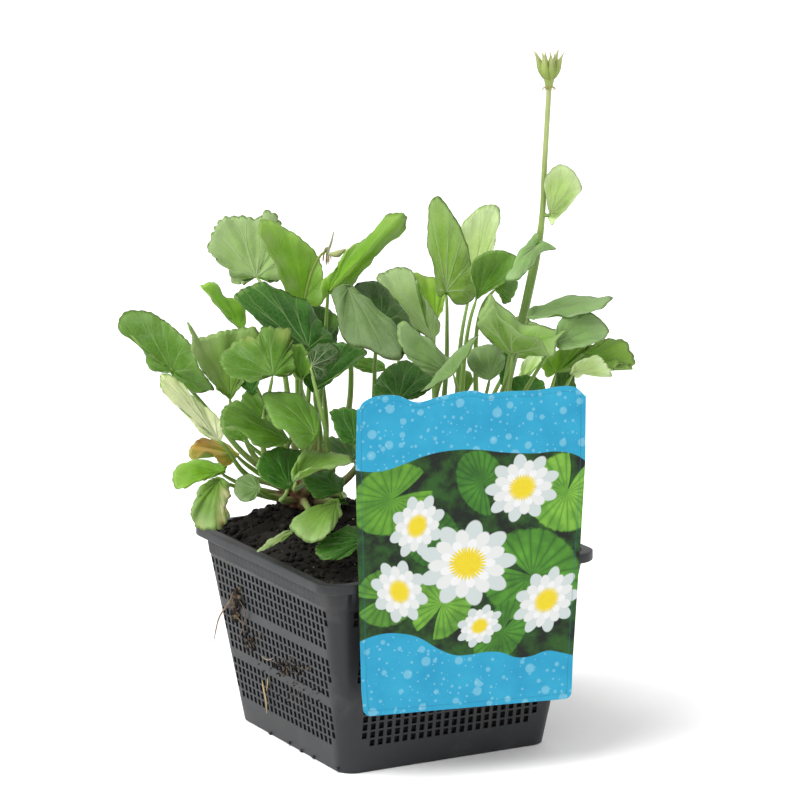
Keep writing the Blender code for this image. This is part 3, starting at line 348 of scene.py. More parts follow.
def makeBasket():
    b = basket
    middles = (np.arange(b["columns"]) - (b["columns"] - 1) / 2) * b["holePitch"]
    edges = np.sort(np.concatenate([middles - b["holeWidth"] / 2, middles + b["holeWidth"] / 2]))
    last = wallHalf(b["height"]) - b["corner"] * (1 - np.pi / 4)
    extra = np.linspace(edges[-1], last, 5)[1:]
    places = np.concatenate([-extra[::-1], edges, extra])  # where the columns of points stand at the top
    skirt = b["height"] - b["rimSkirt"]
    rowZ = b["topRow"] - b["rowPitch"] * np.array(b["rows"])
    plainZ = [0.4, 3.0, 5.5, 8.0, 9.6, b["ribFrom"], b["ribFrom"] + 0.5, b["ribTo"] - 0.5, b["ribTo"], skirt]
    wallZ = np.sort(np.concatenate([rowZ - b["holeHeight"] / 2, rowZ + b["holeHeight"] / 2, plainZ]))

    def squeeze(half, corner):
        # A column keeps its place up to a little round the corner, and beyond it they share what is left
        kept, limit = half - corner + min(b["cornerReach"], corner * 0.3), half - corner * (1 - np.pi / 4)
        size = np.abs(places)
        return (np.sign(places) * np.where(size <= kept, size, kept + (size - kept) * (limit - kept)
                                           / (last - kept)))

    def innerPlaces(spots, flat):
        # The inner corner's arc is shorter, and each of its columns stays opposite the outer one
        over = np.clip(np.abs(spots) - flat, 0.0, None)
        return np.sign(spots) * (np.minimum(np.abs(spots), flat) + over * (1 - b["wall"] / b["corner"]))

    ribbed = np.where((np.arange(len(places)) % 2 == 0) & (np.abs(places) <= edges[-1]), b["ribRise"], 0.0)
    outer, inner = [], []
    for z in wallZ:
        half, spots = wallHalf(z), squeeze(wallHalf(z), b["corner"])
        lift = ribbed if b["ribFrom"] < z < b["ribTo"] else 0.0
        outer.append(perimeter(half, b["corner"], z, spots, lift))
        inner.append(perimeter(half - b["wall"], b["corner"] - b["wall"], max(z, b["floor"]),
                               innerPlaces(spots, half - b["corner"])))
    outer, inner = np.array(outer), np.array(inner)
    # a hole is a cell between the two edges of a column and of a row, where the wall still has room
    columnIs = np.zeros(len(places) - 1, bool)
    columnIs[len(extra):-len(extra):2] = True
    centre = (places[:-1] + places[1:]) / 2
    flat = wallHalf(wallZ[:-1]) - b["corner"]
    rowIs = np.isin(wallZ[:-1], rowZ - b["holeHeight"] / 2)
    hole = np.concatenate([  # the front and the back keep a wider plain strip at their corners
        rowIs[:, None] & columnIs[None] & (np.abs(centre)[None] + b["holeWidth"] / 2 <= flat[:, None] + reach)
        for reach in (b["frontReach"], b["cornerReach"]) * 2], axis=1)

    def ring(half, corner, z, share=1.0):
        return perimeter(half, corner, z, squeeze(half, corner) * share if half else places * 0.0)

    r, top = b["rimRound"], b["height"]
    innerTop, innerCorner = b["rimHalf"] - b["rimLedge"], b["corner"] - b["wall"]
    rim = np.array([ring(*stop) for stop in (  # half, corner, height, from the outside to the inside
        (b["rimHalf"] - 0.35, b["rimCorner"] - 0.35, skirt), (b["rimHalf"], b["rimCorner"], skirt + 0.35),
        (b["rimHalf"], b["rimCorner"], top - r), (b["rimHalf"] - 0.3 * r, b["rimCorner"] - 0.3 * r,
                                                  top - 0.3 * r),
        (b["rimHalf"] - r, b["rimCorner"] - r, top), (b["rimHalf"] - b["rimLedge"] / 2,
                                                      b["rimCorner"] - 1.6, top - 0.12),
        (innerTop + r, innerCorner + r, top), (innerTop, innerCorner, top - r))])
    foot = np.array([ring(0.0, 0.0, 0.0), ring(20.0, 3.0, 0.0), ring(wallHalf(0) - 0.4, b["corner"] - 0.4,
        0.0)])
    inside = np.array([ring(0.0, 0.0, b["floor"]), ring(20.0, 3.0, b["floor"])])
    tint = linearColour(basketLook["plastic"])
    patches = [
        gridPatch(outer, 0.0, tint, keep=~hole),
        gridPatch(inner, 0.0, tint, flip=True, keep=~hole),
        gridPatch(np.concatenate([outer[-1:], rim, inner[-1:]]), 0.0, tint),
        gridPatch(np.concatenate([foot, outer[:1]]), 0.0, tint),
        gridPatch(np.concatenate([inside, inner[:1]]), 0.0, tint, flip=True),
    ]
    # each hole's four walls, from the outer wall to the inner one
    row, column = np.nonzero(hole)
    count, depth = outer.shape[1], outer.shape[0] * outer.shape[1]
    here = row * count + column
    loop = [here, here + 1, here + 1 + count, here + count]
    lips = np.concatenate([np.stack([start, end, end + depth, start + depth], axis=1)
                           for start, end in zip(loop, loop[1:] + loop[:1])])
    both = np.concatenate([outer.reshape(-1, 3), inner.reshape(-1, 3)])
    patches.append(dict(points=both, faces=lips, slot=0, uv=np.zeros((len(both), 2)),
                        tint=np.broadcast_to(tint, both.shape)))
    return meshPiece("pondBasket", patches, [mouldedPolypropylene()], ["pot"], sharpAngle=32)


makeBasket()
print("basket made")


# soil
soil = dict(edge=76.6, uneven=1.2, columns=120, rings=44, rough=0.95,
            crowns=dict(left=dict(x=-21.0, y=34.5, heap=12.0, spread=27.0),
                        right=dict(x=27.0, y=-2.0, heap=8.5, spread=24.0)),
            crumbs=2400, chips=260, crumbSize=(0.3, 1.7), seed=11,
            colours=("#120E0B", "#1C1611", "#2A2219", "#16120F"),
            chipColours=("#8A7A5E", "#C5B89C", "#5C4630"))


def soilHeight(x, y):
    # Level near the wall, gently uneven, and heaped as a Gaussian round each crown (mm)
    inner = wallHalf(soil["edge"]) - basket["wall"]
    edge = np.maximum(0.0, 1.0 - (np.maximum(np.abs(x), np.abs(y)) / inner) ** 10)
    height = soil["edge"] + soil["uneven"] * np.sin(x * 0.095) * np.cos(y * 0.080) * edge
    for crown in soil["crowns"].values():
        apart = ((x - crown["x"]) ** 2 + (y - crown["y"]) ** 2) / crown["spread"] ** 2
        height = height + crown["heap"] * np.exp(-apart / 2) * edge
    return height


def pile(values, shares, draw):
    # Smooth random relief: a sum of sines whose lengths are the given ones (mm), in random directions
    x, y = values
    total = np.zeros(np.shape(x))
    for length, share in shares:
        for _ in range(5):
            turn, phase = draw.uniform(0, 2 * np.pi, 2)
            total += share * np.sin(2 * np.pi * (x * np.cos(turn) + y * np.sin(turn)) / length + phase) / 5
    return total


def sievedPeat():
    # Sieved peat, damp: matt and near black, with brown fibres and a crumbly grain
    finish, tree = newFinish("sievedPeat")
    place = addNode(tree, "TexCoord")["Object"]
    own = addNode(tree, "Attribute", attribute_name="tint")["Color"]
    grain = addNode(tree, "TexNoise", {"Vector": place, "Scale": 1 / (0.9 * mm), "Detail": 4.0,
                                       "Roughness": 0.7})[0]
    shade = addNode(tree, "MapRange", {"Value": grain, "From Min": 0.3, "From Max": 0.75, "To Min": 0.45,
                                       "To Max": 1.9})[0]
    colour = addNode(tree, "VectorMath", {0: own, 3: shade}, operation="SCALE")[0]
    bump = addNode(tree, "Bump", {"Height": grain, "Strength": 0.8, "Distance": 0.4 * mm})[0]
    shader = addNode(tree, "BsdfPrincipled", {"Base Color": colour, "Roughness": 0.85, "Normal": bump,
                                               "Specular IOR Level": 0.3})
    addNode(tree, "OutputMaterial", {"Surface": shader[0]})
    return finish


def makeSoil():
    draw = np.random.default_rng(soil["seed"])
    wall, floor = basket["wall"], basket["floor"] + 0.3
    corner = basket["corner"] - wall
    places = np.linspace(-1, 1, soil["columns"] // 4 + 1)
    rings = []

    def ring(half, z):
        limit = half - corner * (1 - np.pi / 4)
        return perimeter(half, corner, z, places * limit)

    foot, edge = wallHalf(floor) - wall - 0.3, wallHalf(soil["edge"]) - wall - 0.3
    rings = [perimeter(0.0, 0.0, floor, places * 0), ring(foot, floor), ring(edge, soil["edge"])]
    for share in np.linspace(1.0, 0.0, soil["rings"])[1:]:
        flat = rings[2] * share / mm
        x, y = flat[:, 0], flat[:, 1]
        rough = pile((x, y), ((9.0, 1.6), (4.0, 1.1), (2.2, 0.7)), np.random.default_rng(soil["seed"]))
        z = soilHeight(x, y) + soil["rough"] * rough * min(1.0, 14 * (1 - share)) * min(1.0, 8 * share)
        rings.append(np.stack([x, y, z], axis=1) * mm)
    tones = np.array([linearColour(code) for code in soil["colours"]])
    base = gridPatch(np.array(rings), 0.0, tones[1])

    def scatter(count, sizes, colours, flatness):
        spot = draw.uniform(-edge + 1.5, edge - 1.5, (count, 2))
        size = sizes[0] + (sizes[1] - sizes[0]) * draw.random(count) ** 2.5
        radii = size[:, None] * np.stack([draw.uniform(0.7, 1.5, count), draw.uniform(0.7, 1.2, count),
                                          draw.uniform(*flatness, count)], axis=1)
        z = soilHeight(spot[:, 0], spot[:, 1]) + size * 0.35
        centres = np.column_stack([spot, z]) * mm
        tint = colours[draw.integers(0, len(colours), count)] * draw.uniform(0.6, 1.4, (count, 1))
        return ballPatch(centres, radii * mm, 5, 7, tint, 0, 0.28, draw)

    crumbs = scatter(soil["crumbs"], soil["crumbSize"], tones, (0.6, 1.0))
    chips = scatter(soil["chips"], (0.25, 0.8), np.array([linearColour(c) for c in soil["chipColours"]]),
                    (0.25, 0.5))
    return meshPiece("peatSoil", [base, crumbs, chips], [sievedPeat()], ["soil"])


makeSoil()
print("soil made")


# leaves
leafPalettes = {  # near the heart, the middle, and the rim
    "mid": ("#6CA22C", "#629822", "#82B44A"), "bright": ("#94D030", "#86C424", "#A8D65C"),
    "light": ("#98C852", "#8CBE48", "#B4D884"), "dark": ("#3E8420", "#367A14", "#569634"),
    "glossyDark": ("#387A1A", "#2E6E10", "#549632"), "glaucous": ("#94B872", "#88B062", "#A4C486"),
    "greyDark": ("#4A7A32", "#427228", "#749C58"), "pale": ("#E0FAA8", "#D4F294", "#E8FCC0"),
    "papery": ("#FAFED0", "#F6FCC8", "#ECF6B4"), "underPale": ("#C2E690", "#B6DC82", "#CAE8A2"),
    "underMid": ("#9ECC54", "#92C246", "#B0D678"), "yellowGreen": ("#A8DC34", "#98D02C", "#B8E45C"),
    "turning": ("#F4EC60", "#FCD870", "#E8AC54"),
}
blade = dict(spokes=176, rings=15, thickness=0.42, cup=1.3, toothPitch=3.7, toothDepth=0.42, ruffle=0.0075,
             ruffleWaves=5, veins=9, puff=0.13, veinRise=0.10, veinWidth=0.4, uneven=0.30, notchDepth=0.15,
             notchBehind=1.4,
             facing=0.12, facingStep=0.08, facingRounds=200, unevenTint=0.10)
stalk = dict(sides=12, rings=30, top=0.62, middle=0.95, foot=1.35, sheath=1.75, curveSteps=8,
             topTint="#A6CC68", middleTint="#9CC65C", footTint="#BCCB80", baseTint="#A8806A", sunk=1.2)
crownShape = dict(radius=9.0, sink=1.5, clearance=0.42, footSpacing=3.5, footRise=0.25, footLowest=0.28,
                  rounds=400)

leaves = {
    "leaf_01": dict(crown="left", top="mid", under="underPale", teeth=1.1, ruffle=0.012,
         heart=(256, 277, 36), margin=[(279, 279, 36), (284, 250, 42), (280, 220, 50), (270, 212, 52),
         (256, 218, 52), (236, 214, 50), (218, 222, 46), (209, 243, 40), (212, 260, 34), (230, 271, 30),
         (236, 285, 30), (249, 279, 32)]),
    "leaf_02": dict(crown="left", top="bright", under="underMid", shade=1.1,
         patches=[(268, 240, 7, "#BCD884", 0.6), (279, 262, 7, "#BCD884", 0.6),
         (290, 284, 7, "#C4DC90", 0.6)], heart=(303, 302, 14), margin=[(292, 298, 3), (277, 274, 1),
         (266, 245, 3), (258, 221, 12), (279, 223, 18), (300, 238, 22), (317, 254, 22), (324, 278, 18),
         (321, 304, 12)]),
    "leaf_03": dict(crown="left", top="bright", under="underMid", heart=(328, 292, -10),
         via=[(324, 352, 2)], margin=[(322, 301, -14), (322, 285, -12), (337, 266, -8), (350, 248, -6),
         (366, 235, -6), (380, 225, -8), (392, 214, -14), (403, 213, -18), (409, 222, -14), (399, 232, -6),
         (386, 242, -2), (374, 255, 0), (360, 275, 0), (350, 289, -4)]),
    "leaf_04": dict(crown="left", top="bright", under="underMid", shade=1.4,
         patches=[(352, 284, 6, "#C8E49C", 0.6), (368, 262, 6, "#C8E49C", 0.6),
         (386, 240, 7, "#C8E49C", 0.6)], heart=(241, 329, 42), margin=[(233, 323, 32), (218, 307, 28),
         (206, 293, 30), (200, 286, 36), (212, 282, 44), (220, 289, 48), (227, 297, 48), (239, 300, 50),
         (247, 311, 50), (245, 326, 46)]),
    "leaf_05": dict(crown="left", top="glossyDark", under="underMid", shade=0.85, heart=(308, 348, -18),
         via=[(309, 385, -3)], margin=[(291, 350, -15), (268, 333, -11), (258, 318, -11), (246, 308, -12),
         (234, 297, -12), (243, 288, -6), (260, 284, -2), (280, 288, 2), (303, 300, 2), (319, 316, -2),
         (331, 338, -8), (326, 352, -14)]),
    # leaf_06: its yellow-green patch is painted light, where the leaf glows with light shining through it
    "leaf_06": dict(crown="left", top="dark", under="underMid", patches=[(335, 318, 9, "#8CC83A", 0.6)],
         shade=0.5, heart=(321, 352, 12), margin=[(303, 345, 12), (298, 325, 16), (306, 306, 20),
         (322, 307, 22), (335, 313, 22), (339, 327, 18), (334, 348, 14)]),
    "leaf_07": dict(crown="left", top="dark", under="underMid", shade=0.85, heart=(314, 390, -14),
         margin=[(303, 380, -17), (306, 362, -15), (322, 348, -12), (338, 342, -13), (352, 344, -14),
         (366, 350, -16), (361, 360, -18), (345, 369, -18), (330, 383, -16)]),
    # leaf_08: its dark patch is painted shade on a lobe that lies in shade
    "leaf_08": dict(crown="left", top="mid", under="underMid", patches=[(318, 350, 10, "#3C6C26", 0.5)],
         shade=0.9, heart=(173, 371, 18), bulge=2.0, via=[(208, 410, 20), (243, 453, 20)],
         margin=[(162, 373, 20), (148, 364, 22), (144, 350, 24), (131, 338, 24), (118, 326, 26),
         (125, 313, 30), (145, 310, 28), (163, 319, 24), (178, 331, 18), (191, 345, 12), (199, 364, 8),
         (206, 377, 6), (214, 391, 8), (198, 391, 12), (182, 382, 16)]),
    "leaf_09": dict(crown="left", top="mid", under="papery", shade=1.5, heart=(218, 440, 2),
         via=[(247, 475, 12)], margin=[(224, 432, 2), (219, 418, 3), (206, 406, 4), (191, 394, 3),
         (177, 379, 1), (163, 373, -2), (160, 387, -3), (172, 401, -1), (184, 413, 0), (195, 425, 0),
         (207, 437, 0)]),
    # leaf_10: the two pale patches are its paler underside; the dark one is painted shade on the part that
    # lies in shade
    "leaf_10": dict(crown="left", top="underMid", under="underMid", patches=[(199, 348, 14, "#CFE6A0", 0.7),
         (212, 374, 10, "#CFE6A0", 0.6), (240, 350, 12, "#5A8A34", 0.5)], teeth=0.8, heart=(230, 397, 8),
         via=[(243, 433, 12), (257, 459, 16)], margin=[(215, 386, 2), (201, 367, -4), (191, 345, -2),
         (187, 322, 4), (198, 337, 12), (222, 331, 18), (246, 327, 22), (258, 330, 22), (258, 352, 20),
         (246, 378, 14)]),
    "leaf_11": dict(crown="left", top="mid", under="underMid", shade=0.9, teeth=0.9, ruffle=0.013,
         patches=[(248, 338, 7, "#C6CE70", 0.45), (285, 334, 8, "#C6CE70", 0.45),
         (262, 360, 8, "#8FBC58", 0.5)], heart=(273, 375, -38), margin=[(258, 379, -46), (240, 378, -46),
         (223, 373, -42), (220, 354, -34), (231, 344, -30), (249, 337, -26), (256, 341, -26),
         (261, 326, -22), (275, 328, -20), (291, 332, -18), (292, 350, -24), (294, 371, -32),
         (284, 377, -36)]),
    "leaf_12": dict(crown="left", top="mid", under="underMid", shade=1.25, heart=(301, 376, -27),
         bulge=-3.0, margin=[(293, 370, -29), (290, 357, -26), (292, 345, -22), (303, 345, -20),
         (308, 356, -22), (313, 366, -28), (307, 374, -29)]),
    "leaf_13": dict(crown="left", top="mid", under="greyDark", shade=0.55, teeth=0.18, ruffle=0.004,
         heart=(312, 366, -44), via=[(327, 440, -42)], margin=[(309, 373, -46), (317, 381, -46),
         (328, 375, -44), (327, 366, -42), (337, 361, -40), (339, 350, -37), (330, 343, -35),
         (314, 346, -35), (308, 356, -40)]),
    "leaf_14": dict(crown="left", top="glaucous", under="underMid", shade=0.7, teeth=0.18, ruffle=0.004,
         heart=(348, 287, -24), bulge=1.5, margin=[(356, 289, -22), (372, 309, -27), (392, 322, -33),
         (405, 339, -38), (404, 356, -42), (397, 361, -42), (384, 358, -42), (367, 349, -40),
         (350, 346, -38), (340, 332, -36), (337, 312, -32), (331, 294, -26), (339, 287, -23)]),
    "leaf_15": dict(crown="left", top="greyDark", under="underMid", shade=0.65, teeth=0.18, ruffle=0.004,
         heart=(382, 322, -16), margin=[(366, 315, -18), (354, 300, -12), (356, 284, -4), (375, 281, 2),
         (388, 291, 0), (399, 304, -4), (412, 325, -10), (398, 330, -16)]),
    "leaf_16": dict(crown="right", top="mid", under="underPale", heart=(431, 339, 2), via=[(437, 366, 4)],
         margin=[(441, 328, 6), (437, 316, 8), (428, 302, 12), (419, 288, 16), (411, 270, 22),
         (394, 268, 22), (377, 275, 18), (381, 287, 14), (396, 297, 8), (401, 312, 4), (413, 323, 0),
         (424, 334, 0)]),
    "leaf_17": dict(crown="right", top="yellowGreen", under="underMid", heart=(436, 318, 36),
         margin=[(425, 301, 36), (414, 286, 40), (411, 273, 44), (425, 275, 48), (440, 281, 48),
         (446, 294, 44), (442, 311, 38)]),
    "leaf_18": dict(crown="right", top="mid", under="underMid", teeth=0.18, ruffle=0.004,
         heart=(446, 292, -8), bulge=-1.5, via=[(447, 345, -4)], margin=[(456, 305, -8), (469, 303, -6),
         (476, 290, -5), (472, 262, -2), (461, 229, 2), (450, 209, 5), (438, 196, 8), (429, 206, 6),
         (427, 228, 3), (429, 252, -1), (434, 274, -5), (439, 296, -8)]),
    "leaf_19": dict(crown="right", top="pale", under="underMid", shade=1.15, teeth=0.18, ruffle=0.004,
         heart=(469, 297, 26), via=[(460, 350, 12)], margin=[(460, 275, 26), (457, 250, 32), (461, 227, 38),
         (470, 215, 42), (482, 206, 46), (498, 206, 48), (500, 221, 44), (495, 242, 38), (489, 262, 32),
         (480, 285, 26)]),
    "leaf_20": dict(crown="right", top="mid", under="underMid", shade=1.1, teeth=0.18, ruffle=0.004,
         heart=(477, 298, -16), margin=[(474, 285, -18), (471, 264, -16), (484, 253, -10), (500, 250, -4),
         (517, 256, -2), (514, 267, -6), (507, 280, -11), (492, 289, -14)]),
    "leaf_21": dict(crown="right", top="mid", under="underMid", shade=1.05, heart=(497, 288, 2),
         margin=[(507, 280, 6), (519, 282, 10), (516, 291, 9), (511, 301, 6), (504, 304, 3), (499, 297, 1)]),
    "leaf_22": dict(crown="right", top="light", under="light", heart=(512, 353, -46),
         margin=[(479, 322, -40), (485, 304, -36), (493, 292, -33), (507, 311, -31), (522, 324, -29),
         (545, 327, -29), (566, 327, -33), (558, 338, -42), (553, 360, -49), (540, 337, -57),
         (518, 334, -60), (504, 324, -59), (495, 303, -54), (484, 314, -52), (477, 331, -48)]),
    "leaf_23": dict(crown="right", top="glaucous", under="underMid", shade=1.1, teeth=0.18, ruffle=0.004,
         heart=(529, 317, -20), margin=[(531, 308, -14), (549, 302, -8), (568, 296, -4), (592, 296, -4),
         (613, 298, -10), (600, 309, -20), (580, 315, -26), (556, 315, -28), (541, 319, -27)]),
    "leaf_24": dict(crown="right", top="glaucous", under="underMid", shade=1.15, teeth=0.18, ruffle=0.004,
         heart=(556, 343, -38), margin=[(555, 330, -33), (563, 317, -26), (580, 313, -20), (595, 314, -17),
         (609, 331, -20), (597, 343, -30), (578, 348, -38), (563, 351, -42)]),
    "leaf_25": dict(crown="right", top="bright", under="underMid", teeth=0.9, ruffle=0.012,
         heart=(556, 372, -22), margin=[(547, 378, -24), (541, 367, -22), (543, 356, -18), (556, 350, -14),
         (575, 348, -10), (592, 343, -6), (608, 337, -4), (624, 343, -4), (635, 358, -8), (632, 366, -12),
         (620, 362, -14), (614, 369, -18), (600, 358, -22), (582, 357, -24), (567, 368, -25)]),
    "leaf_26": dict(crown="right", top="mid", under="pale", shade=1.4, heart=(573, 373, -36),
         margin=[(578, 378, -30), (589, 369, -28), (601, 370, -30), (612, 377, -36), (607, 364, -42),
         (597, 356, -45), (583, 359, -43), (572, 367, -40)]),
    "leaf_27": dict(crown="right", top="greyDark", under="underMid", heart=(562, 400, -14),
         margin=[(551, 392, -16), (555, 374, -12), (569, 357, -8), (579, 360, -8), (574, 374, -11),
         (576, 392, -14)]),
    "leaf_28": dict(crown="right", top="pale", under="underMid", shade=1.4, heart=(519, 386, 32),
         margin=[(519, 378, 32), (521, 366, 36), (529, 356, 40), (543, 356, 40), (541, 362, 36),
         (531, 370, 32)]),
    "leaf_29": dict(crown="right", top="glaucous", under="underMid", shade=1.1, heart=(447, 372, -36),
         margin=[(436, 379, -38), (418, 367, -42), (405, 355, -44), (398, 338, -44), (400, 322, -40),
         (412, 327, -36), (430, 341, -32), (447, 355, -30), (456, 366, -32)]),
    "leaf_30": dict(crown="right", top="glaucous", under="underMid", teeth=0.18, ruffle=0.004,
         heart=(453, 374, -48), margin=[(445, 379, -50), (432, 387, -52), (420, 392, -50), (434, 377, -44),
         (448, 358, -38), (462, 347, -35), (472, 338, -36), (480, 335, -40), (468, 350, -46),
         (460, 366, -49)]),
    "leaf_31": dict(crown="right", top="dark", under="underMid", shade=0.75, heart=(398, 400, -30),
         margin=[(377, 403, -30), (373, 387, -25), (384, 371, -18), (406, 359, -10), (424, 371, -12),
         (438, 380, -16), (421, 396, -25)]),
    "leaf_32": dict(crown="right", top="glaucous", under="underMid", teeth=0.18, ruffle=0.004,
         heart=(490, 378, -40), margin=[(478, 377, -40), (469, 367, -37), (467, 357, -33), (472, 349, -29),
         (484, 345, -25), (497, 346, -24), (505, 356, -27), (502, 371, -35)]),
    "leaf_33": dict(crown="left", top="mid", under="underMid", patches=[(488, 303, 9, "#B4CC98", 0.55),
         (506, 318, 8, "#A8C488", 0.45)], teeth=0.18, ruffle=0.004, heart=(314, 436, -50), bulge=1.5,
         via=[(306, 462, -32)], margin=[(304, 450, -54), (295, 445, -55), (286, 432, -55), (275, 427, -53),
         (267, 412, -48), (262, 397, -42), (270, 391, -38), (288, 392, -34), (303, 397, -32),
         (314, 407, -35), (320, 421, -42)]),
    "leaf_34": dict(crown="left", top="mid", under="underMid", shade=0.95, heart=(286, 440, -37),
         margin=[(276, 447, -41), (256, 446, -45), (244, 435, -46), (232, 425, -46), (221, 425, -45),
         (221, 412, -40), (229, 403, -34), (238, 401, -30), (252, 414, -27), (270, 422, -27),
         (285, 431, -31)]),
    "leaf_35": dict(crown="left", top="mid", under="underMid", heart=(270, 424, 4), margin=[(258, 420, 2),
         (246, 410, 4), (241, 400, 8), (245, 392, 12), (255, 391, 13), (263, 401, 10), (268, 413, 6)]),
    "leaf_36": dict(crown="left", top="dark", under="underMid", shade=0.95, heart=(289, 486, -44),
         margin=[(277, 488, -50), (265, 480, -50), (256, 467, -48), (262, 454, -42), (275, 448, -37),
         (290, 448, -33), (302, 452, -31), (298, 466, -36), (294, 478, -41)]),
    "leaf_37": dict(crown="left", top="light", under="underMid", heart=(296, 481, -52), bulge=3.0,
         margin=[(291, 472, -54), (299, 458, -50), (312, 451, -46), (330, 452, -43), (345, 455, -43),
         (354, 460, -46), (344, 466, -52), (330, 469, -57), (312, 469, -60), (301, 474, -57)]),
    "leaf_38": dict(crown="left", top="dark", under="underMid", heart=(340, 490, -30),
         margin=[(318, 499, -36), (307, 489, -34), (302, 477, -28), (315, 471, -22), (333, 472, -18),
         (344, 480, -22)]),
    "leaf_39": dict(crown="left", top="light", under="underMid", heart=(337, 503, -40), bulge=1.5,
         margin=[(341, 514, -46), (335, 527, -53), (322, 540, -58), (308, 542, -58), (296, 535, -55),
         (289, 525, -50), (300, 515, -46), (316, 510, -42), (328, 503, -40)]),
    "leaf_40": dict(crown="right", top="dark", under="underMid", shade=0.8, heart=(366, 539, -50),
         margin=[(352, 553, -58), (335, 560, -61), (322, 560, -61), (315, 550, -57), (322, 538, -50),
         (338, 530, -46), (357, 525, -43)]),
    "leaf_41": dict(crown="left", top="pale", under="underMid", shade=1.15, heart=(294, 531, -45),
         via=[(312, 522, -28)], margin=[(287, 537, -44), (270, 547, -43), (257, 553, -44), (268, 541, -50),
         (281, 533, -52)]),
    "leaf_42": dict(crown="left", top="bright", under="underMid", shade=1.15, heart=(222, 473, 14),
         bulge=1.0, via=[(246, 486, 18), (268, 492, 20)], margin=[(208, 479, 8), (194, 483, 6),
         (178, 490, 4), (172, 478, 8), (178, 466, 14), (190, 461, 20), (206, 460, 24), (218, 464, 23),
         (226, 467, 19)]),
    "leaf_43": dict(crown="left", top="light", under="underMid", teeth=0.9, ruffle=0.011,
         patches=[(226, 494, 6, "#E8E0A4", 0.85), (223, 508, 6, "#EAE2A8", 0.85),
         (221, 520, 5, "#E4D898", 0.8), (221, 524, 3, "#8A5A2A", 0.85), (226, 512, 2.5, "#A87838", 0.6),
         (200, 526, 6, "#C8D080", 0.5)], shade=0.9, heart=(219, 481, 0), bulge=2.0,
         via=[(243, 489, 8), (266, 496, 16)], margin=[(229, 483, -2), (231, 494, -7), (225, 508, -12),
         (228, 520, -14), (219, 530, -17), (205, 530, -18), (195, 526, -16), (191, 509, -12),
         (197, 495, -7), (205, 483, -2)]),
    "leaf_44": dict(crown="left", top="glaucous", under="underMid", shade=1.0, teeth=0.18, ruffle=0.004,
         heart=(258, 488, -4), margin=[(254, 500, -9), (243, 502, -10), (235, 495, -7), (234, 487, -2),
         (238, 478, 3), (248, 474, 5), (257, 478, 3)]),
    "leaf_45": dict(crown="left", top="turning", under="underMid", patches=[(198, 440, 5, "#A8643A", 0.85),
         (209, 436, 5, "#8E4A22", 0.85), (220, 438, 4, "#9A5A2C", 0.8), (207, 447, 7, "#F0B870", 0.6),
         (229, 454, 10, "#C8D048", 0.8), (194, 456, 8, "#8AB448", 0.6)], shade=1.4, heart=(237, 454, 12),
         via=[(257, 472, 18)], margin=[(227, 466, 4), (215, 459, -2), (206, 451, -5), (191, 460, -8),
         (189, 450, -2), (199, 439, 6), (211, 438, 12), (226, 444, 15)]),
    "leaf_46": dict(crown="right", top="dark", under="underMid", heart=(354, 441, -46),
         margin=[(342, 442, -50), (334, 427, -47), (330, 411, -40), (345, 408, -35), (361, 412, -34),
         (364, 430, -41)]),
    "leaf_47": dict(crown="right", top="greyDark", under="underMid", heart=(353, 458, -26),
         margin=[(338, 454, -30), (322, 447, -28), (327, 438, -20), (345, 438, -15), (360, 445, -18)]),
    "leaf_48": dict(crown="left", top="mid", under="mid", heart=(290, 352, 42), margin=[(306, 356, 46),
         (316, 336, 52), (310, 312, 60), (290, 300, 64), (270, 310, 60), (264, 334, 52), (274, 355, 45)]),
    "leaf_49": dict(crown="right", top="mid", under="mid", shade=0.75, heart=(395, 350, 42),
         margin=[(408, 353, 46), (420, 336, 52), (417, 312, 61), (400, 296, 66), (382, 304, 63),
         (372, 328, 54), (380, 350, 46)]),
    "leaf_50": dict(crown="right", top="mid", under="underMid", heart=(515, 356, 38),
         margin=[(530, 358, 43), (543, 344, 50), (542, 328, 60), (524, 316, 66), (503, 322, 60),
         (495, 342, 49), (501, 357, 42)]),
}
stemLeaves = {
    "stem_leaf_upper": dict(top="pale", under="pale", shade=1.2, teeth=0.18, ruffle=0.004,
         heart=(551, 214, -5), bulge=-1.5, margin=[(549, 203, -12), (546, 188, -14), (546, 174, -12),
         (556, 166, -6), (564, 165, -4), (574, 171, -2), (582, 188, -2), (575, 200, -4), (564, 211, -6),
         (552, 226, -8)]),
    "stem_leaf_lower": dict(top="mid", under="glaucous", shade=1.35, teeth=0.18, ruffle=0.004,
         heart=(537, 246, -10), bulge=-2.0, margin=[(537, 234, -7), (528, 240, -8), (521, 250, -12),
         (513, 264, -18), (505, 281, -24), (517, 281, -26), (528, 271, -22), (536, 260, -16),
         (543, 252, -13), (556, 249, -10), (546, 245, -8)]),
}
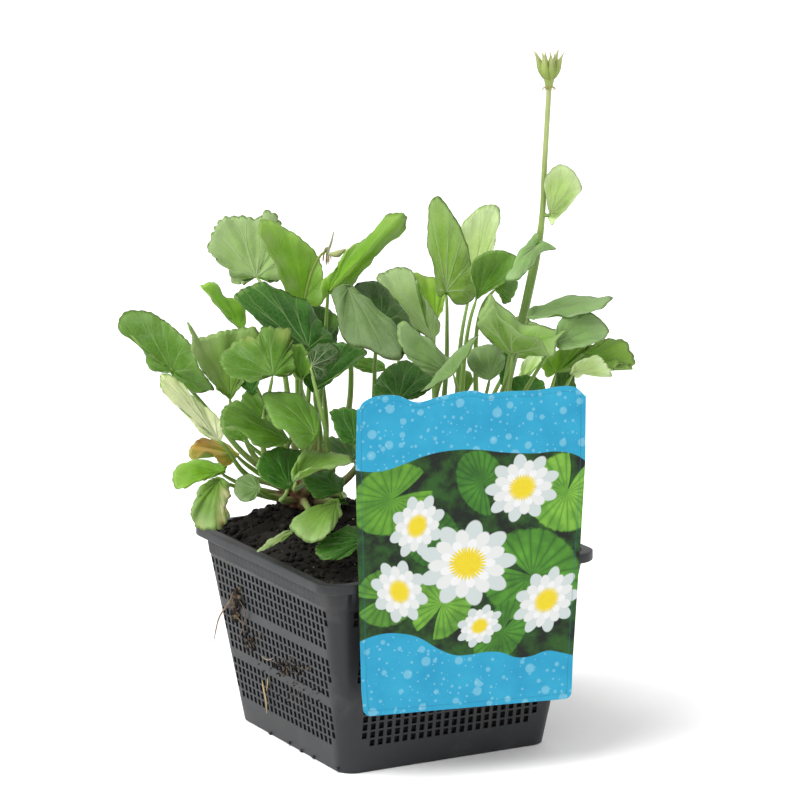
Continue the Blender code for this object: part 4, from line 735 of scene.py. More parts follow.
smallLeaves = {  # little ones between the others
    "tinyLeafA": dict(crown="left", top="dark", under="underMid", heart=(251, 391, 12),
         margin=[(243, 388, 12), (238, 381, 13), (242, 374, 15), (252, 372, 15), (259, 378, 14),
         (258, 387, 12)]),
    "tinyLeafB": dict(crown="right", top="mid", under="underMid", heart=(383, 369, 22),
         margin=[(374, 373, 22), (361, 371, 24), (352, 364, 26), (358, 357, 28), (372, 358, 26),
         (383, 362, 24)]),
    "tinyLeafC": dict(crown="right", top="light", under="underMid", heart=(466, 390, 14),
         margin=[(460, 385, 14), (459, 377, 15), (464, 370, 16), (471, 373, 16), (473, 382, 15)]),
    "tinyLeafD": dict(crown="right", top="dark", under="underMid", heart=(506, 391, 20),
         margin=[(500, 381, 20), (500, 365, 22), (505, 348, 24), (511, 352, 24), (512, 370, 22),
         (510, 384, 20)]),
    "tinyLeafE": dict(crown="right", top="dark", under="underMid", heart=(524, 396, 4),
         margin=[(512, 392, 4), (503, 386, 5), (512, 378, 7), (527, 375, 8), (542, 380, 7), (545, 389, 5),
         (534, 394, 4)]),
    "tinyLeafF": dict(crown="left", top="mid", under="underMid", heart=(246, 441, -6),
         margin=[(236, 440, -6), (226, 436, -5), (222, 430, -4), (232, 427, -3), (243, 431, -4)]),
    "tinyLeafG": dict(crown="left", top="dark", under="underMid", heart=(345, 503, 10),
         margin=[(336, 504, 10), (324, 500, 11), (317, 492, 12), (330, 489, 12), (342, 494, 11)]),
}

flowerStem = dict(crown="right", points=[(549, 89, -4), (546, 140, -4), (544, 175, -4), (543, 205, -4),
                  (540, 235, -3), (534, 266, -2), (523, 317, 1), (511, 365, 4), (498, 430, 8)],
                  radii=[1.0, 1.0, 1.05, 1.15, 1.75, 1.7, 2.0, 1.7, 1.75, 1.9, 2.1], rise=9.0, sides=32,
                  rings=90,
                  ribs=9, ribDepth=0.05,
                  tints=["#C9D68E", "#C3D384", "#A9C46A", "#8FB255", "#86A94F", "#9CBF5C", "#A8C264",
                         "#B9C882"])
spentFlower = dict(crown="left", points=[(327, 250, 2), (320, 256, 3), (312, 272, 5), (306, 295, 6),
                                         (302, 320, 6),
                   (297, 360, 5), (296, 420, 8)], radii=[0.5, 0.6, 0.75, 0.85, 0.9], sides=12, rings=40,
                   tints=["#A8BC5C", "#86B440", "#82B03E", "#8CB850", "#98BE62"], hub=1.15, stamens=9,
                   length=7.0)


def crownCentre(name):
    crown = soil["crowns"][name]
    x, y = crown["x"], crown["y"]
    return np.array([x, y, soilHeight(x, y) - crownShape["sink"]]) * mm


def bladeFrame(heart, margin):
    # The notch between the lobes, and the upper direction: the mean of the sectors' own, turned until
    # each sector of a folded blade faces it
    notch = heart + blade["notchDepth"] * ((margin[0] + margin[-1]) / 2 - heart)
    reach = margin.mean(axis=0) - heart
    if (notch - heart) @ reach > 0.0:
        notch = heart - unit(reach) * blade["notchBehind"] * mm
    spokes = np.vstack([notch, margin, notch]) - heart
    sectors = np.cross(spokes[1:], spokes[:-1])
    upper = unit(sectors[1:-1].sum(axis=0))
    sectors = unit(sectors)
    for _ in range(blade["facingRounds"]):
        least = sectors[(sectors @ upper).argmin()]
        if least @ upper > blade["facing"]:
            break
        upper = unit(upper + least * blade["facingStep"])
    return notch, upper


def stalkPath(start, leaving, foot, footDirection, via):
    # A cubic curve between each two stops, with handles of a quarter to a third of its length
    stops = [start, *via, foot]
    path = []
    t = (np.arange(stalk["curveSteps"]) / stalk["curveSteps"])[:, None]
    for here, (begin, end) in enumerate(zip(stops, stops[1:])):
        reach = np.linalg.norm(end - begin)
        out = unit(end - stops[here - 1]) * 0.33 if here else leaving * 0.25
        back = footDirection * 0.38 if here == len(stops) - 2 else unit(begin - stops[here + 2]) * 0.33
        handleOut, handleBack = begin + out * reach, end + back * reach
        path.append(begin * (1 - t)**3 + handleOut * 3 * t * (1 - t)**2 + handleBack * 3 * t * t * (1 - t)
                    + end * t**3)
    return smoothPath(np.vstack([*path, foot[None]]), stalk["rings"])


def placeFeet(growing):
    # Each stalk's direction out of its crown: towards its blade but steeper, then pushed from its
    # neighbours until none are closer than the foot spacing
    shape, feet = crownShape, {}
    for name in soil["crowns"]:
        centre = crownCentre(name)
        mine = {key: heart for key, (crown, heart) in growing.items() if crown == name}
        found = unit(unit(np.array(list(mine.values())) - centre) + up * shape["footRise"])
        closest = shape["footSpacing"] / (shape["radius"] + 0.3)
        for _ in range(shape["rounds"]):
            apart = found[:, None] - found[None]
            distance = np.linalg.norm(apart, axis=2) + 1e-9
            push = np.clip(closest * 1.02 - distance, 0.0, None) / distance
            np.fill_diagonal(push, 0.0)
            found = found + 0.5 * (apart * push[:, :, None]).sum(axis=1)
            found[:, 2] = np.maximum(found[:, 2], shape["footLowest"])
            found = unit(found)
        for key, direction in zip(mine, found):
            feet[key] = (centre + direction * (shape["radius"] + shape["clearance"]) * mm, direction)
    return feet


def photoPixel(points):
    # Where points (metres) stand in the photo: x and y in its pixels
    seen = points - viewFrom
    depth = -(seen @ viewBack)[..., None]
    return (camera["imagePixels"] / 2 + np.stack([seen @ right, -(seen @ viewUp)], axis=-1) / depth
            * camera["focalPixels"])


def blend(stops, share):
    # Colours at the given shares of the way along evenly spaced stops
    table = np.array([linearColour(code) for code in stops])
    places = np.linspace(0.0, 1.0, len(table))
    return np.stack([np.interp(share, places, table[:, band]) for band in range(3)], axis=-1)


def bladePatches(heart, margin, leaf, draw):
    # point(u, v) = heart + v (rim(u) - heart), where the part along the upper direction grows as v to
    # the power of cup, plus bulge 4 v (1 - v), ruffles that grow with v squared, and a puff |sin|
    # between the veins. The upper and lower skins stand half the thickness off it and meet at the rim
    notch, upper = bladeFrame(heart, margin)
    rim = smoothPath(np.vstack([notch, margin, notch]), blade["spokes"] + 1)
    steps = np.linalg.norm(np.diff(rim, axis=0), axis=1)
    around = steps.sum() / mm
    u = np.append(0.0, np.cumsum(steps)) / steps.sum()
    fade = np.clip(np.minimum(u, 1 - u) * 14, 0, 1)
    tangent = unit(np.gradient(rim, axis=0))
    spoke = rim - heart
    outward = unit(spoke - (spoke * tangent).sum(axis=1, keepdims=True) * tangent)
    teeth = round(around / blade["toothPitch"])
    tooth = np.abs(np.sin(np.pi * teeth * (u + 0.004 * np.sin(u * 41)))) ** 0.7 - 0.75
    depth = min(leaf.get("teeth", blade["toothDepth"]), around * 0.011)
    rim = rim + outward * (tooth * depth * fade * mm)[:, None]
    spoke = rim - heart
    rise = (spoke @ upper)[:, None] * upper
    v = np.linspace(0.0, 1.0, blade["rings"])[:, None]
    sheet = heart + v[..., None] * (spoke - rise) + (v ** leaf.get("cup", blade["cup"]))[..., None] * rise
    sheet = sheet + (4 * v * (1 - v) * leaf.get("bulge", 0.0) * mm)[..., None] * upper

    def normals(grid):
        found = unit(np.cross(np.gradient(grid, axis=1), np.gradient(grid, axis=0)))
        found[0] = upper
        found[:, 0] = found[:, -1] = unit(found[:, 0] + found[:, -1])
        return found

    ruffle = np.sin(2 * np.pi * (blade["ruffleWaves"] * u + draw.random() + 0.1 * np.sin(9 * u)))
    ruffle = ((ruffle + 0.5 * np.sin(2 * np.pi * (11 * u + draw.random())))
              * leaf.get("ruffle", blade["ruffle"]) * around)
    veins = blade["veins"]
    crease = np.abs(np.sin(np.pi * (u * veins - 0.5)))
    swell = blade["puff"] * crease * np.clip(4.5 * v * (1.02 - v), 0, 1)
    dents = (pile((photoPixel(sheet) / 2.54).transpose(2, 0, 1), ((11.0, 2.2), (5.0, 1.0)),
                  draw) * blade["uneven"])
    dents = dents * np.clip(5 * v * (1.1 - v), 0, 1)
    sheet = sheet + normals(sheet) * ((ruffle * fade * v**2 + swell + dents * fade) * mm)[..., None]
    normal = normals(sheet)
    closing = np.sqrt(np.clip(1 - v**6, 0, 1)) * blade["thickness"] / 2
    offVein = np.abs((u * veins) % 1.0 - 0.5) / veins * around * v
    ridge = (blade["veinRise"] * np.exp(-(offVein / blade["veinWidth"]) ** 2) * np.clip(1.25 - v, 0, 1)
             * (v > 0))
    uv = np.stack(np.broadcast_arrays(u[None] * veins, v), axis=-1)
    uneven = sum(np.sin(2 * np.pi * (k * u[None] + draw.random()) + 3 * v * draw.uniform(-1, 1)) / 3
                 for k in (1, 2, 3)) * blade["unevenTint"]
    patches, pixels = [], photoPixel(sheet)
    for side, flip in (("top", False), ("under", True)):
        # each leaf's palette and shade factor were matched to how bright that leaf looks, so besides its own
        # tone they hold painted shade (leaves lying in shade made darker) and painted light (leaves made
        # brighter than their lighting gives)
        tint = blend(leafPalettes[leaf[side]], v[:, 0] ** 1.3)[:, None] * (1 + uneven[..., None])
        tint = tint * leaf.get("shade", 1.0)
        # colour patches laid over the tint: some are the leaf's own marks (a paler underside, yellow
        # mottling, brown spots, turning colour), while the yellow-green one on leaf_06 is painted light and
        # the dark ones on leaf_08 and leaf_10 are painted shade
        for x, y, size, code, strength in leaf.get("patches", ()):
            near = np.exp(-((pixels - (x, y)) ** 2).sum(axis=-1) / size**2)[..., None] * strength
            tint = tint * (1 - near) + linearColour(code) * near
        off = closing - ridge if side == "top" else -(closing + ridge)
        patches.append(gridPatch(sheet + normal * (off * mm)[..., None], uv, tint, 1 if flip else 0, flip))
    return patches, notch, upper


def livingLeaf(name, look):
    # A living leaf: a thin waxy skin over spongy green, so it has a soft broad sheen, lets some light
    # through as a yellower green, and shows paler veins that fan out from the stalk and fork
    finish, tree = newFinish(name)
    place = addNode(tree, "TexCoord")["Object"]
    own = addNode(tree, "Attribute", attribute_name="tint")["Color"]
    along = addNode(tree, "SeparateXYZ", {0: addNode(tree, "UVMap", uv_map="surface")[0]})
    spread = look["spread"]  # mm between two veins at the rim
    turn = addNode(tree, "Math", {0: along["X"]}, operation="FRACT")[0]
    off = addNode(tree, "Math", {0: turn, 1: 0.5}, operation="SUBTRACT")[0]
    off = addNode(tree, "Math", {0: off}, operation="ABSOLUTE")[0]
    width = addNode(tree, "Math", {0: along["Y"], 1: spread}, operation="MULTIPLY")[0]
    apart = addNode(tree, "Math", {0: off, 1: width}, operation="MULTIPLY")[0]
    main = addNode(tree, "MapRange", {"Value": apart, "From Min": 0.10, "From Max": 0.42, "To Min": 1.0,
                                      "To Max": 0.0},
                   interpolation_type="SMOOTHSTEP")[0]
    opened = addNode(tree, "Math", {0: along["Y"], 1: look["forkAt"]}, operation="SUBTRACT")[0]
    opened = addNode(tree, "Math", {0: opened, 1: 0.0}, operation="MAXIMUM")[0]
    opened = addNode(tree, "Math", {0: opened, 1: 0.6}, operation="MULTIPLY")[0]
    fork = addNode(tree, "Math", {0: off, 1: opened}, operation="SUBTRACT")[0]
    fork = addNode(tree, "Math", {0: fork}, operation="ABSOLUTE")[0]
    fork = addNode(tree, "Math", {0: fork, 1: width}, operation="MULTIPLY")[0]
    fork = addNode(tree, "MapRange", {"Value": fork, "From Min": 0.06, "From Max": 0.3, "To Min": 0.75,
                                      "To Max": 0.0},
                   interpolation_type="SMOOTHSTEP")[0]
    late = addNode(tree, "MapRange", {"Value": along["Y"], "From Min": 0.55, "From Max": 0.9, "To Min": 1.0,
                                      "To Max": 0.25})[0]
    main = addNode(tree, "Math", {0: main, 1: late}, operation="MULTIPLY")[0]
    veins = addNode(tree, "Math", {0: main, 1: fork}, operation="MAXIMUM")[0]
    # the fine net of cross veins, about 2.2 mm a mesh
    bent = addNode(tree, "TexNoise", {"Vector": place, "Scale": 1 / (3.0 * mm), "Detail": 1.0})["Color"]
    bent = addNode(tree, "VectorMath", {0: bent, 3: 1.1 * mm}, operation="SCALE")[0]
    bent = addNode(tree, "VectorMath", {0: place, 1: bent}, operation="ADD")[0]
    net = addNode(tree, "TexVoronoi", {"Vector": bent, "Scale": 1 / (2.2 * mm)},
                  feature="DISTANCE_TO_EDGE")[0]
    net = addNode(tree, "MapRange", {"Value": net, "From Min": 0.0, "From Max": 0.16, "To Min": 0.25,
                                     "To Max": 0.0},
                  interpolation_type="SMOOTHSTEP")[0]
    lines = addNode(tree, "Math", {0: veins, 1: net}, operation="MAXIMUM")[0]
    mottle = addNode(tree, "TexNoise", {"Vector": place, "Scale": 1 / (5.0 * mm), "Detail": 4.0,
                                        "Roughness": 0.6})[0]
    shade = addNode(tree, "MapRange", {"Value": mottle, "From Min": 0.25, "From Max": 0.75,
                                       "To Min": 1 - look["mottle"],
                                       "To Max": 1 + look["mottle"]})[0]
    skin = addNode(tree, "VectorMath", {0: own, 3: shade}, operation="SCALE")[0]
    share = addNode(tree, "Math", {0: lines, 1: look["veinShow"]}, operation="MULTIPLY")[0]
    skin = addNode(tree, "Mix", {0: share, 6: skin, 7: rgba(look["veinColour"])}, data_type="RGBA")[2]
    height = addNode(tree, "Math", {0: lines, 1: look["veinBump"]}, operation="MULTIPLY")[0]
    height = addNode(tree, "Math", {0: mottle, 1: height}, operation="ADD")[0]
    bump = addNode(tree, "Bump", {"Height": height, "Strength": look["bump"], "Distance": 0.25 * mm})[0]
    gloss = addNode(tree, "MapRange", {"Value": mottle, "To Min": look["rough"] - 0.07,
                                       "To Max": look["rough"] + 0.07})[0]
    surface = addNode(tree, "BsdfPrincipled", {"Base Color": skin, "Roughness": gloss, "Normal": bump,
                                               "IOR": 1.45,
                                                "Specular IOR Level": look["specular"]})[0]
    glow = addNode(tree, "Mix", {0: 0.35, 6: skin, 7: rgba(look["glow"])}, data_type="RGBA")[2]
    through = addNode(tree, "BsdfTranslucent", {"Color": glow, "Normal": bump})[0]
    both = addNode(tree, "MixShader", {0: look["through"], 1: surface, 2: through})[0]
    addNode(tree, "OutputMaterial", {"Surface": both})
    return finish


def livingStem(name="livingStem"):
    # A juicy stem: satin and pale, finely ribbed along its length, a little see-through
    finish, tree = newFinish(name)
    place = addNode(tree, "TexCoord")["Object"]
    own = addNode(tree, "Attribute", attribute_name="tint")["Color"]
    along = addNode(tree, "UVMap", uv_map="surface")[0]
    lines = addNode(tree, "Mapping", {"Vector": along, "Scale": (26.0, 1.5, 1.0)})[0]
    streak = addNode(tree, "TexNoise", {"Vector": lines, "Scale": 1.0, "Detail": 2.0})[0]
    patchy = addNode(tree, "TexNoise", {"Vector": place, "Scale": 1 / (7.0 * mm), "Detail": 3.0})[0]
    both = addNode(tree, "Math", {0: streak, 1: patchy}, operation="ADD")[0]
    shade = addNode(tree, "MapRange", {"Value": both, "From Min": 0.6, "From Max": 1.4, "To Min": 0.8,
                                       "To Max": 1.18})[0]
    skin = addNode(tree, "VectorMath", {0: own, 3: shade}, operation="SCALE")[0]
    bump = addNode(tree, "Bump", {"Height": streak, "Strength": 0.4, "Distance": 0.25 * mm})[0]
    surface = addNode(tree, "BsdfPrincipled", {"Base Color": skin, "Roughness": 0.42, "Normal": bump,
                                               "IOR": 1.45,
                                                "Specular IOR Level": 0.45})[0]
    through = addNode(tree, "BsdfTranslucent", {"Color": skin})[0]
    mixed = addNode(tree, "MixShader", {0: 0.15, 1: surface, 2: through})[0]
    addNode(tree, "OutputMaterial", {"Surface": mixed})
    return finish


leafTop = dict(spread=11.0, forkAt=0.45, mottle=0.10, veinShow=0.34, veinColour="#BCDC8E", veinBump=-0.9,
               bump=0.5,
               rough=0.42, specular=0.28, glow="#C8E43C", through=0.26)
leafUnder = dict(spread=11.0, forkAt=0.45, mottle=0.07, veinShow=0.5, veinColour="#D8ECB8", veinBump=1.3,
                 bump=0.6,
                 rough=0.58, specular=0.2, glow="#C8E43C", through=0.30)


def makeLeaves():
    top, under = livingLeaf("waxyLeafTop", leafTop), livingLeaf("mattLeafUnderside", leafUnder)
    stem = livingStem()
    growing = {name: (leaf["crown"], photoPoint([leaf["heart"]])[0]) for name, leaf in leaves.items()}
    growing["flowerStem"] = (flowerStem["crown"], photoPoint([flowerStem["points"][-1]])[0])
    growing["spentFlower"] = (spentFlower["crown"], photoPoint([spentFlower["points"][-1]])[0])
    feet = placeFeet(growing)
    for number, (name, leaf) in enumerate({**leaves, **smallLeaves}.items()):
        draw = np.random.default_rng(100 + number)
        heart, margin = photoPoint([leaf["heart"]])[0], photoPoint(leaf["margin"])
        patches, notch, upper = bladePatches(heart, margin, leaf, draw)
        if name in feet:
            foot, direction = feet[name]
        else:
            centre = crownCentre(leaf["crown"])
            direction = unit(unit(heart - centre) + up * crownShape["footRise"])
            foot = centre + direction * crownShape["radius"] * mm
        leaving = unit(foot - heart) * 0.8 - upper * 0.7 + unit(notch - heart) * 0.4
        leaving = leaving - upper * max(0.0, leaving @ upper + 0.25)
        via = list(photoPoint(leaf["via"])) if "via" in leaf else []
        path = stalkPath(heart - upper * 0.35 * mm, unit(leaving), foot, direction, via)
        path = np.vstack([path, foot - direction * stalk["sunk"] * mm])
        walked = np.append(0.0, np.cumsum(np.linalg.norm(np.diff(path, axis=0), axis=1)))
        share = walked / walked[-1]
        radii = np.interp(share, [0, 0.03, 0.35, 0.8, 0.93, 1], [0.3, stalk["top"], stalk["middle"],
            stalk["foot"],
                                                               stalk["sheath"], stalk["foot"]])
        radii = radii * leaf.get("stalkSize", 1.0)
        tint = blend([stalk["topTint"], stalk["middleTint"], stalk["middleTint"], stalk["footTint"],
                      stalk["baseTint"]], share)
        tint = tint * draw.uniform(0.85, 1.12)
        patches.append(tubePatch(path, radii * mm, stalk["sides"], tint, 2))
        nodes = [name] if name in leaves else ()
        meshPiece(name.replace("leaf_", "leafBlade"), patches, [top, under, stem], nodes)
    return feet, top, under, stem


feet, topFinish, underFinish, stemFinish = makeLeaves()
print("leaves made")


# stems, seed head and spent flower
def makeStem(name, stem, feet, node, finish, riseMm):
    foot, direction = feet[name]
    points = np.vstack([photoPoint(stem["points"]), foot + direction * riseMm * mm, foot - direction * 1.2
                        * mm])
    path = smoothPath(points, stem["rings"])
    share = np.linspace(0, 1, len(path))
    radii = np.interp(share, np.linspace(0, 1, len(stem["radii"])), stem["radii"])
    tube = tubePatch(path, radii * mm, stem["sides"], blend(stem["tints"], share), 0,
                     stem.get("ribs", 0), stem.get("ribDepth", 0.0))
    return path, tube


def makeFlowerStem():
    path, tube = makeStem("flowerStem", flowerStem, feet, "flower_stem", stemFinish, flowerStem["rise"])
    meshPiece("flowerStem", [tube], [stemFinish], ["flower_stem"])
    for number, (name, leaf) in enumerate(stemLeaves.items()):
        draw = np.random.default_rng(300 + number)
        heart, margin = photoPoint([leaf["heart"]])[0], photoPoint(leaf["margin"])
        patches, notch, upper = bladePatches(heart, margin, leaf, draw)
        near = path[np.linalg.norm(path - heart, axis=1).argmin()]
        stub = smoothPath([heart - upper * 0.35 * mm, (heart + near) / 2 - up * 0.6 * mm, near], 10)
        patches.append(tubePatch(stub, np.linspace(0.5, 1.1, 10) * mm, stalk["sides"],
                                 linearColour("#9DBD62"), 2))
        piece = "stemLeafUpper" if "upper" in name else "stemLeafLower"
        meshPiece(piece, patches, [topFinish, underFinish, stemFinish], [name])


def makeSpentFlower():
    draw = np.random.default_rng(7)
    path, tube = makeStem("spentFlower", spentFlower, feet, "spent_flower", stemFinish, 9.0)
    patches = [tube, ballPatch(path[:1], np.full((1, 3), spentFlower["hub"] * mm), 9, 13,
                               [linearColour("#8A8A4A")],
                               0, 0.12, draw)]
    # one upright withered petal seen on edge, a small one to the side, and stamens that hang down
    for stops, widths, code in (([(327, 254, 1), (331, 243, 1), (334, 231, 1)], [0.55, 0.5, 0.2], "#A8B088"),
                                ([(328, 254, 0), (337, 254, -1), (346, 249, -2)], [0.5, 1.5, 0.3],
                                 "#C8D088")):
        ribbon = smoothPath(photoPoint(stops), 12)
        wide = np.interp(np.linspace(0, 1, 12), [0, 0.5, 1], widths)
        patches.append(tubePatch(ribbon, wide * mm, 8, linearColour(code), 0, squash=0.5))
    for number in range(spentFlower["stamens"]):
        spread, length = draw.uniform(-1, 1), spentFlower["length"] * draw.uniform(0.6, 1.0)
        aside = right * spread * 0.55 + away * draw.uniform(-0.5, 0.5)
        ribbon = smoothPath([path[0], path[0] + (aside * 0.6 - up * 0.35) * length * mm,
                             path[0] + (aside * 0.8 - up * 0.9) * length * mm], 8)
        patches.append(tubePatch(ribbon, np.interp(np.linspace(0, 1, 8), [0, 0.7, 1], [0.2, 0.3, 0.14])
                                 * mm, 6,
                                 linearColour(draw.choice(["#EADDB4", "#E2C8A8", "#C8A88C", "#D8B860"])), 0,
                                 squash=0.6))
    meshPiece("spentFlower", patches, [stemFinish], ["spent_flower"])


seedHead = dict(base=(549, 89, -4), throat=(549, 80, -4), pods=11, spread=4.4, innerSpread=2.2, length=12.4,
                root=0.8,
                radii=[0.7, 1.35, 1.6, 1.5, 1.05, 0.5, 0.22, 0.1], tints=["#A9C05A", "#B4CC62", "#BCD070",
                    "#D6DC96", "#E8E2B0"])


def makeSeedHead():
    s = seedHead
    draw = np.random.default_rng(5)
    base, throat = photoPoint([s["base"]])[0], photoPoint([s["throat"]])[0]
    hub = smoothPath([base, (base + throat) / 2, throat, throat + up * 2.5 * mm], 12)
    patches = [tubePatch(hub, np.interp(np.linspace(0, 1, 12), [0, 0.3, 0.7, 1], [1.05, 1.6, 2.1, 1.6])
                         * mm, 20,
                         linearColour("#B2C66A"), 0, 8, 0.06)]
    for pod in range(s["pods"]):
        turn = 2 * np.pi * pod / s["pods"] + 0.3
        out = right * math.cos(turn) + away * math.sin(turn)
        spread = s["spread"] if pod % 3 else s["innerSpread"]
        length = s["length"] * draw.uniform(0.9, 1.0)
        start = throat + out * s["root"] * mm
        path = smoothPath([start, start + (out * spread * 0.45 + up * length * 0.35) * mm,
                           start + (out * spread * 0.95 + up * length * 0.78) * mm,
                           start + (out * spread * 1.3 + up * length) * mm], 18)
        share = np.linspace(0, 1, 18)
        radii = np.interp(share, np.linspace(0, 1, len(s["radii"])), s["radii"])
        patches.append(tubePatch(path, radii * mm, 12, blend(s["tints"], share) * draw.uniform(0.85, 1.1), 0,
                                 2, 0.10, squash=0.8))
    for number in range(9):  # withered stamens that hang on under the pods
        turn = 2 * np.pi * number / 9
        out = right * math.cos(turn) + away * math.sin(turn)
        tuft = smoothPath([base + up * 1.0 * mm, base + (out * 1.8 + up * 0.8) * mm,
                           base + (out * 2.9 - up * 0.4) * mm], 6)
        patches.append(tubePatch(tuft, np.linspace(0.3, 0.14, 6) * mm, 5, linearColour("#C9B878"), 0))
    meshPiece("seedHead", patches, [stemFinish], ["seed_head"])


makeFlowerStem()
makeSpentFlower()
makeSeedHead()
print("stems made")


# crowns
crownLook = dict(scales=22, tints=("#7A4A30", "#5A3524", "#9A7A52", "#8C5A3A"), seed=21)


def driedSheath():
    # Dried leaf sheaths: papery brown skins, matt, with fine lines along them
    finish, tree = newFinish("driedSheath")
    place = addNode(tree, "TexCoord")["Object"]
    own = addNode(tree, "Attribute", attribute_name="tint")["Color"]
    lines = addNode(tree, "Mapping", {"Vector": addNode(tree, "UVMap", uv_map="surface")[0],
                                      "Scale": (24.0, 2.0, 1.0)})[0]
    streak = addNode(tree, "TexNoise", {"Vector": lines, "Scale": 1.0, "Detail": 3.0})[0]
    grime = addNode(tree, "TexNoise", {"Vector": place, "Scale": 1 / (2.5 * mm), "Detail": 4.0})[0]
    both = addNode(tree, "Math", {0: streak, 1: grime}, operation="ADD")[0]
    shade = addNode(tree, "MapRange", {"Value": both, "From Min": 0.6, "From Max": 1.4, "To Min": 0.4,
                                       "To Max": 1.4})[0]
    colour = addNode(tree, "VectorMath", {0: own, 3: shade}, operation="SCALE")[0]
    bump = addNode(tree, "Bump", {"Height": both, "Strength": 0.6, "Distance": 0.3 * mm})[0]
    surface = addNode(tree, "BsdfPrincipled", {"Base Color": colour, "Roughness": 0.75, "Normal": bump})[0]
    addNode(tree, "OutputMaterial", {"Surface": surface})
    return finish


def makeCrowns():
    finish = driedSheath()
    for name in soil["crowns"]:
        draw = np.random.default_rng(crownLook["seed"] + len(name))
        centre, radius = crownCentre(name), crownShape["radius"] * mm
        tones = [linearColour(code) for code in crownLook["tints"]]
        patches = [ballPatch(centre[None], np.full((1, 3), radius), 25, 41, [tones[1]], 0, 0.03, draw)]
        for number in range(crownLook["scales"]):
            # a scale is a strip curved round the crown: angle across it, height along it, and a torn tip
            turn = 2 * np.pi * number / crownLook["scales"] * 1.618 * 2
            wide, tall = draw.uniform(0.25, 0.45), draw.uniform(0.5, 1.0)
            across = np.linspace(-1, 1, 9)[None, :]
            along = np.linspace(0, 1, 8)[:, None]
            lean = turn + wide * across * (1 - 0.6 * along)
            lat = -0.2 + along * (0.9 + 0.35 * tall)
            reach = radius * (1.04 + 0.10 * along + 0.22 * tall * along**3 + 0.03 * np.cos(3 * across))
            skin = np.stack(np.broadcast_arrays(reach * np.cos(lat) * np.cos(lean),
                                                reach * np.cos(lat) * np.sin(lean),
                                                reach * np.sin(lat) + radius * 0.25 * tall * along**2),
                            axis=-1) + centre
            inner = centre + (skin - centre) * 0.965
            uv = np.stack(np.broadcast_arrays(across, along), axis=-1)
            tone = tones[number % len(tones)]
            edges = [np.stack([skin[0], inner[0]]), np.stack([inner[-1], skin[-1]]),
                     np.stack([inner[:, 0], skin[:, 0]]), np.stack([skin[:, -1], inner[:, -1]])]
            patches += [gridPatch(skin, uv, tone), gridPatch(inner, uv, tone, flip=True)]
            patches += [gridPatch(edge, 0.0, tone, flip=place < 2) for place, edge in enumerate(edges)]
        meshPiece("rootCrown" + name.capitalize(), patches, [finish], ["crown_" + name])


makeCrowns()
print("crowns made")


# what clings to the basket: roots, straw and peat, and a shoot on its rim
debris = dict(roots=[([(232, 592), (230, 600), (226, 608), (219, 620), (213, 641)], 0.45, "#9A7E62"),
                     ([(240, 600), (246, 612), (244, 624), (239, 640)], 0.35, "#7A6248"),
                     ([(228, 604), (236, 610), (241, 603)], 0.3, "#6A5240"),
                     ([(262, 681), (264, 692), (266, 703), (268, 714)], 0.55, "#D8C08A"),
                     ([(268, 677), (267, 684), (266, 691)], 0.4, "#C8B080"),
                     ([(234, 596), (233, 606), (237, 617), (243, 624)], 0.3, "#8A7256"),
                     ([(262, 656), (268, 660), (274, 658)], 0.3, "#A8987C")],
              clumps=[(236, 604, 4.5, 16, 70, 1.0), (250, 640, 9, 10, 40, 0.6), (285, 668, 22, 8, 110, 0.45),
                      (300, 690, 20, 20, 60, 0.35)],
              nubs=[(270, 734), (289, 743), (301, 751), (313, 757), (337, 769)])


def wallPoint(pixels, off):
    # Where the sight line through a pixel meets the left wall, off millimetres in front of it
    x, y = np.asarray(pixels, float).T
    focal, half = camera["focalPixels"], camera["imagePixels"] / 2
    ahead = right * ((x - half) / focal)[:, None] - viewUp * ((y - half) / focal)[:, None] - viewBack
    slope = np.array([1.0, 0.0, basket["taper"]])
    reach = (-(basket["footHalf"] + off) * mm - viewFrom @ slope) / (ahead @ slope)
    return viewFrom + ahead * reach[:, None]


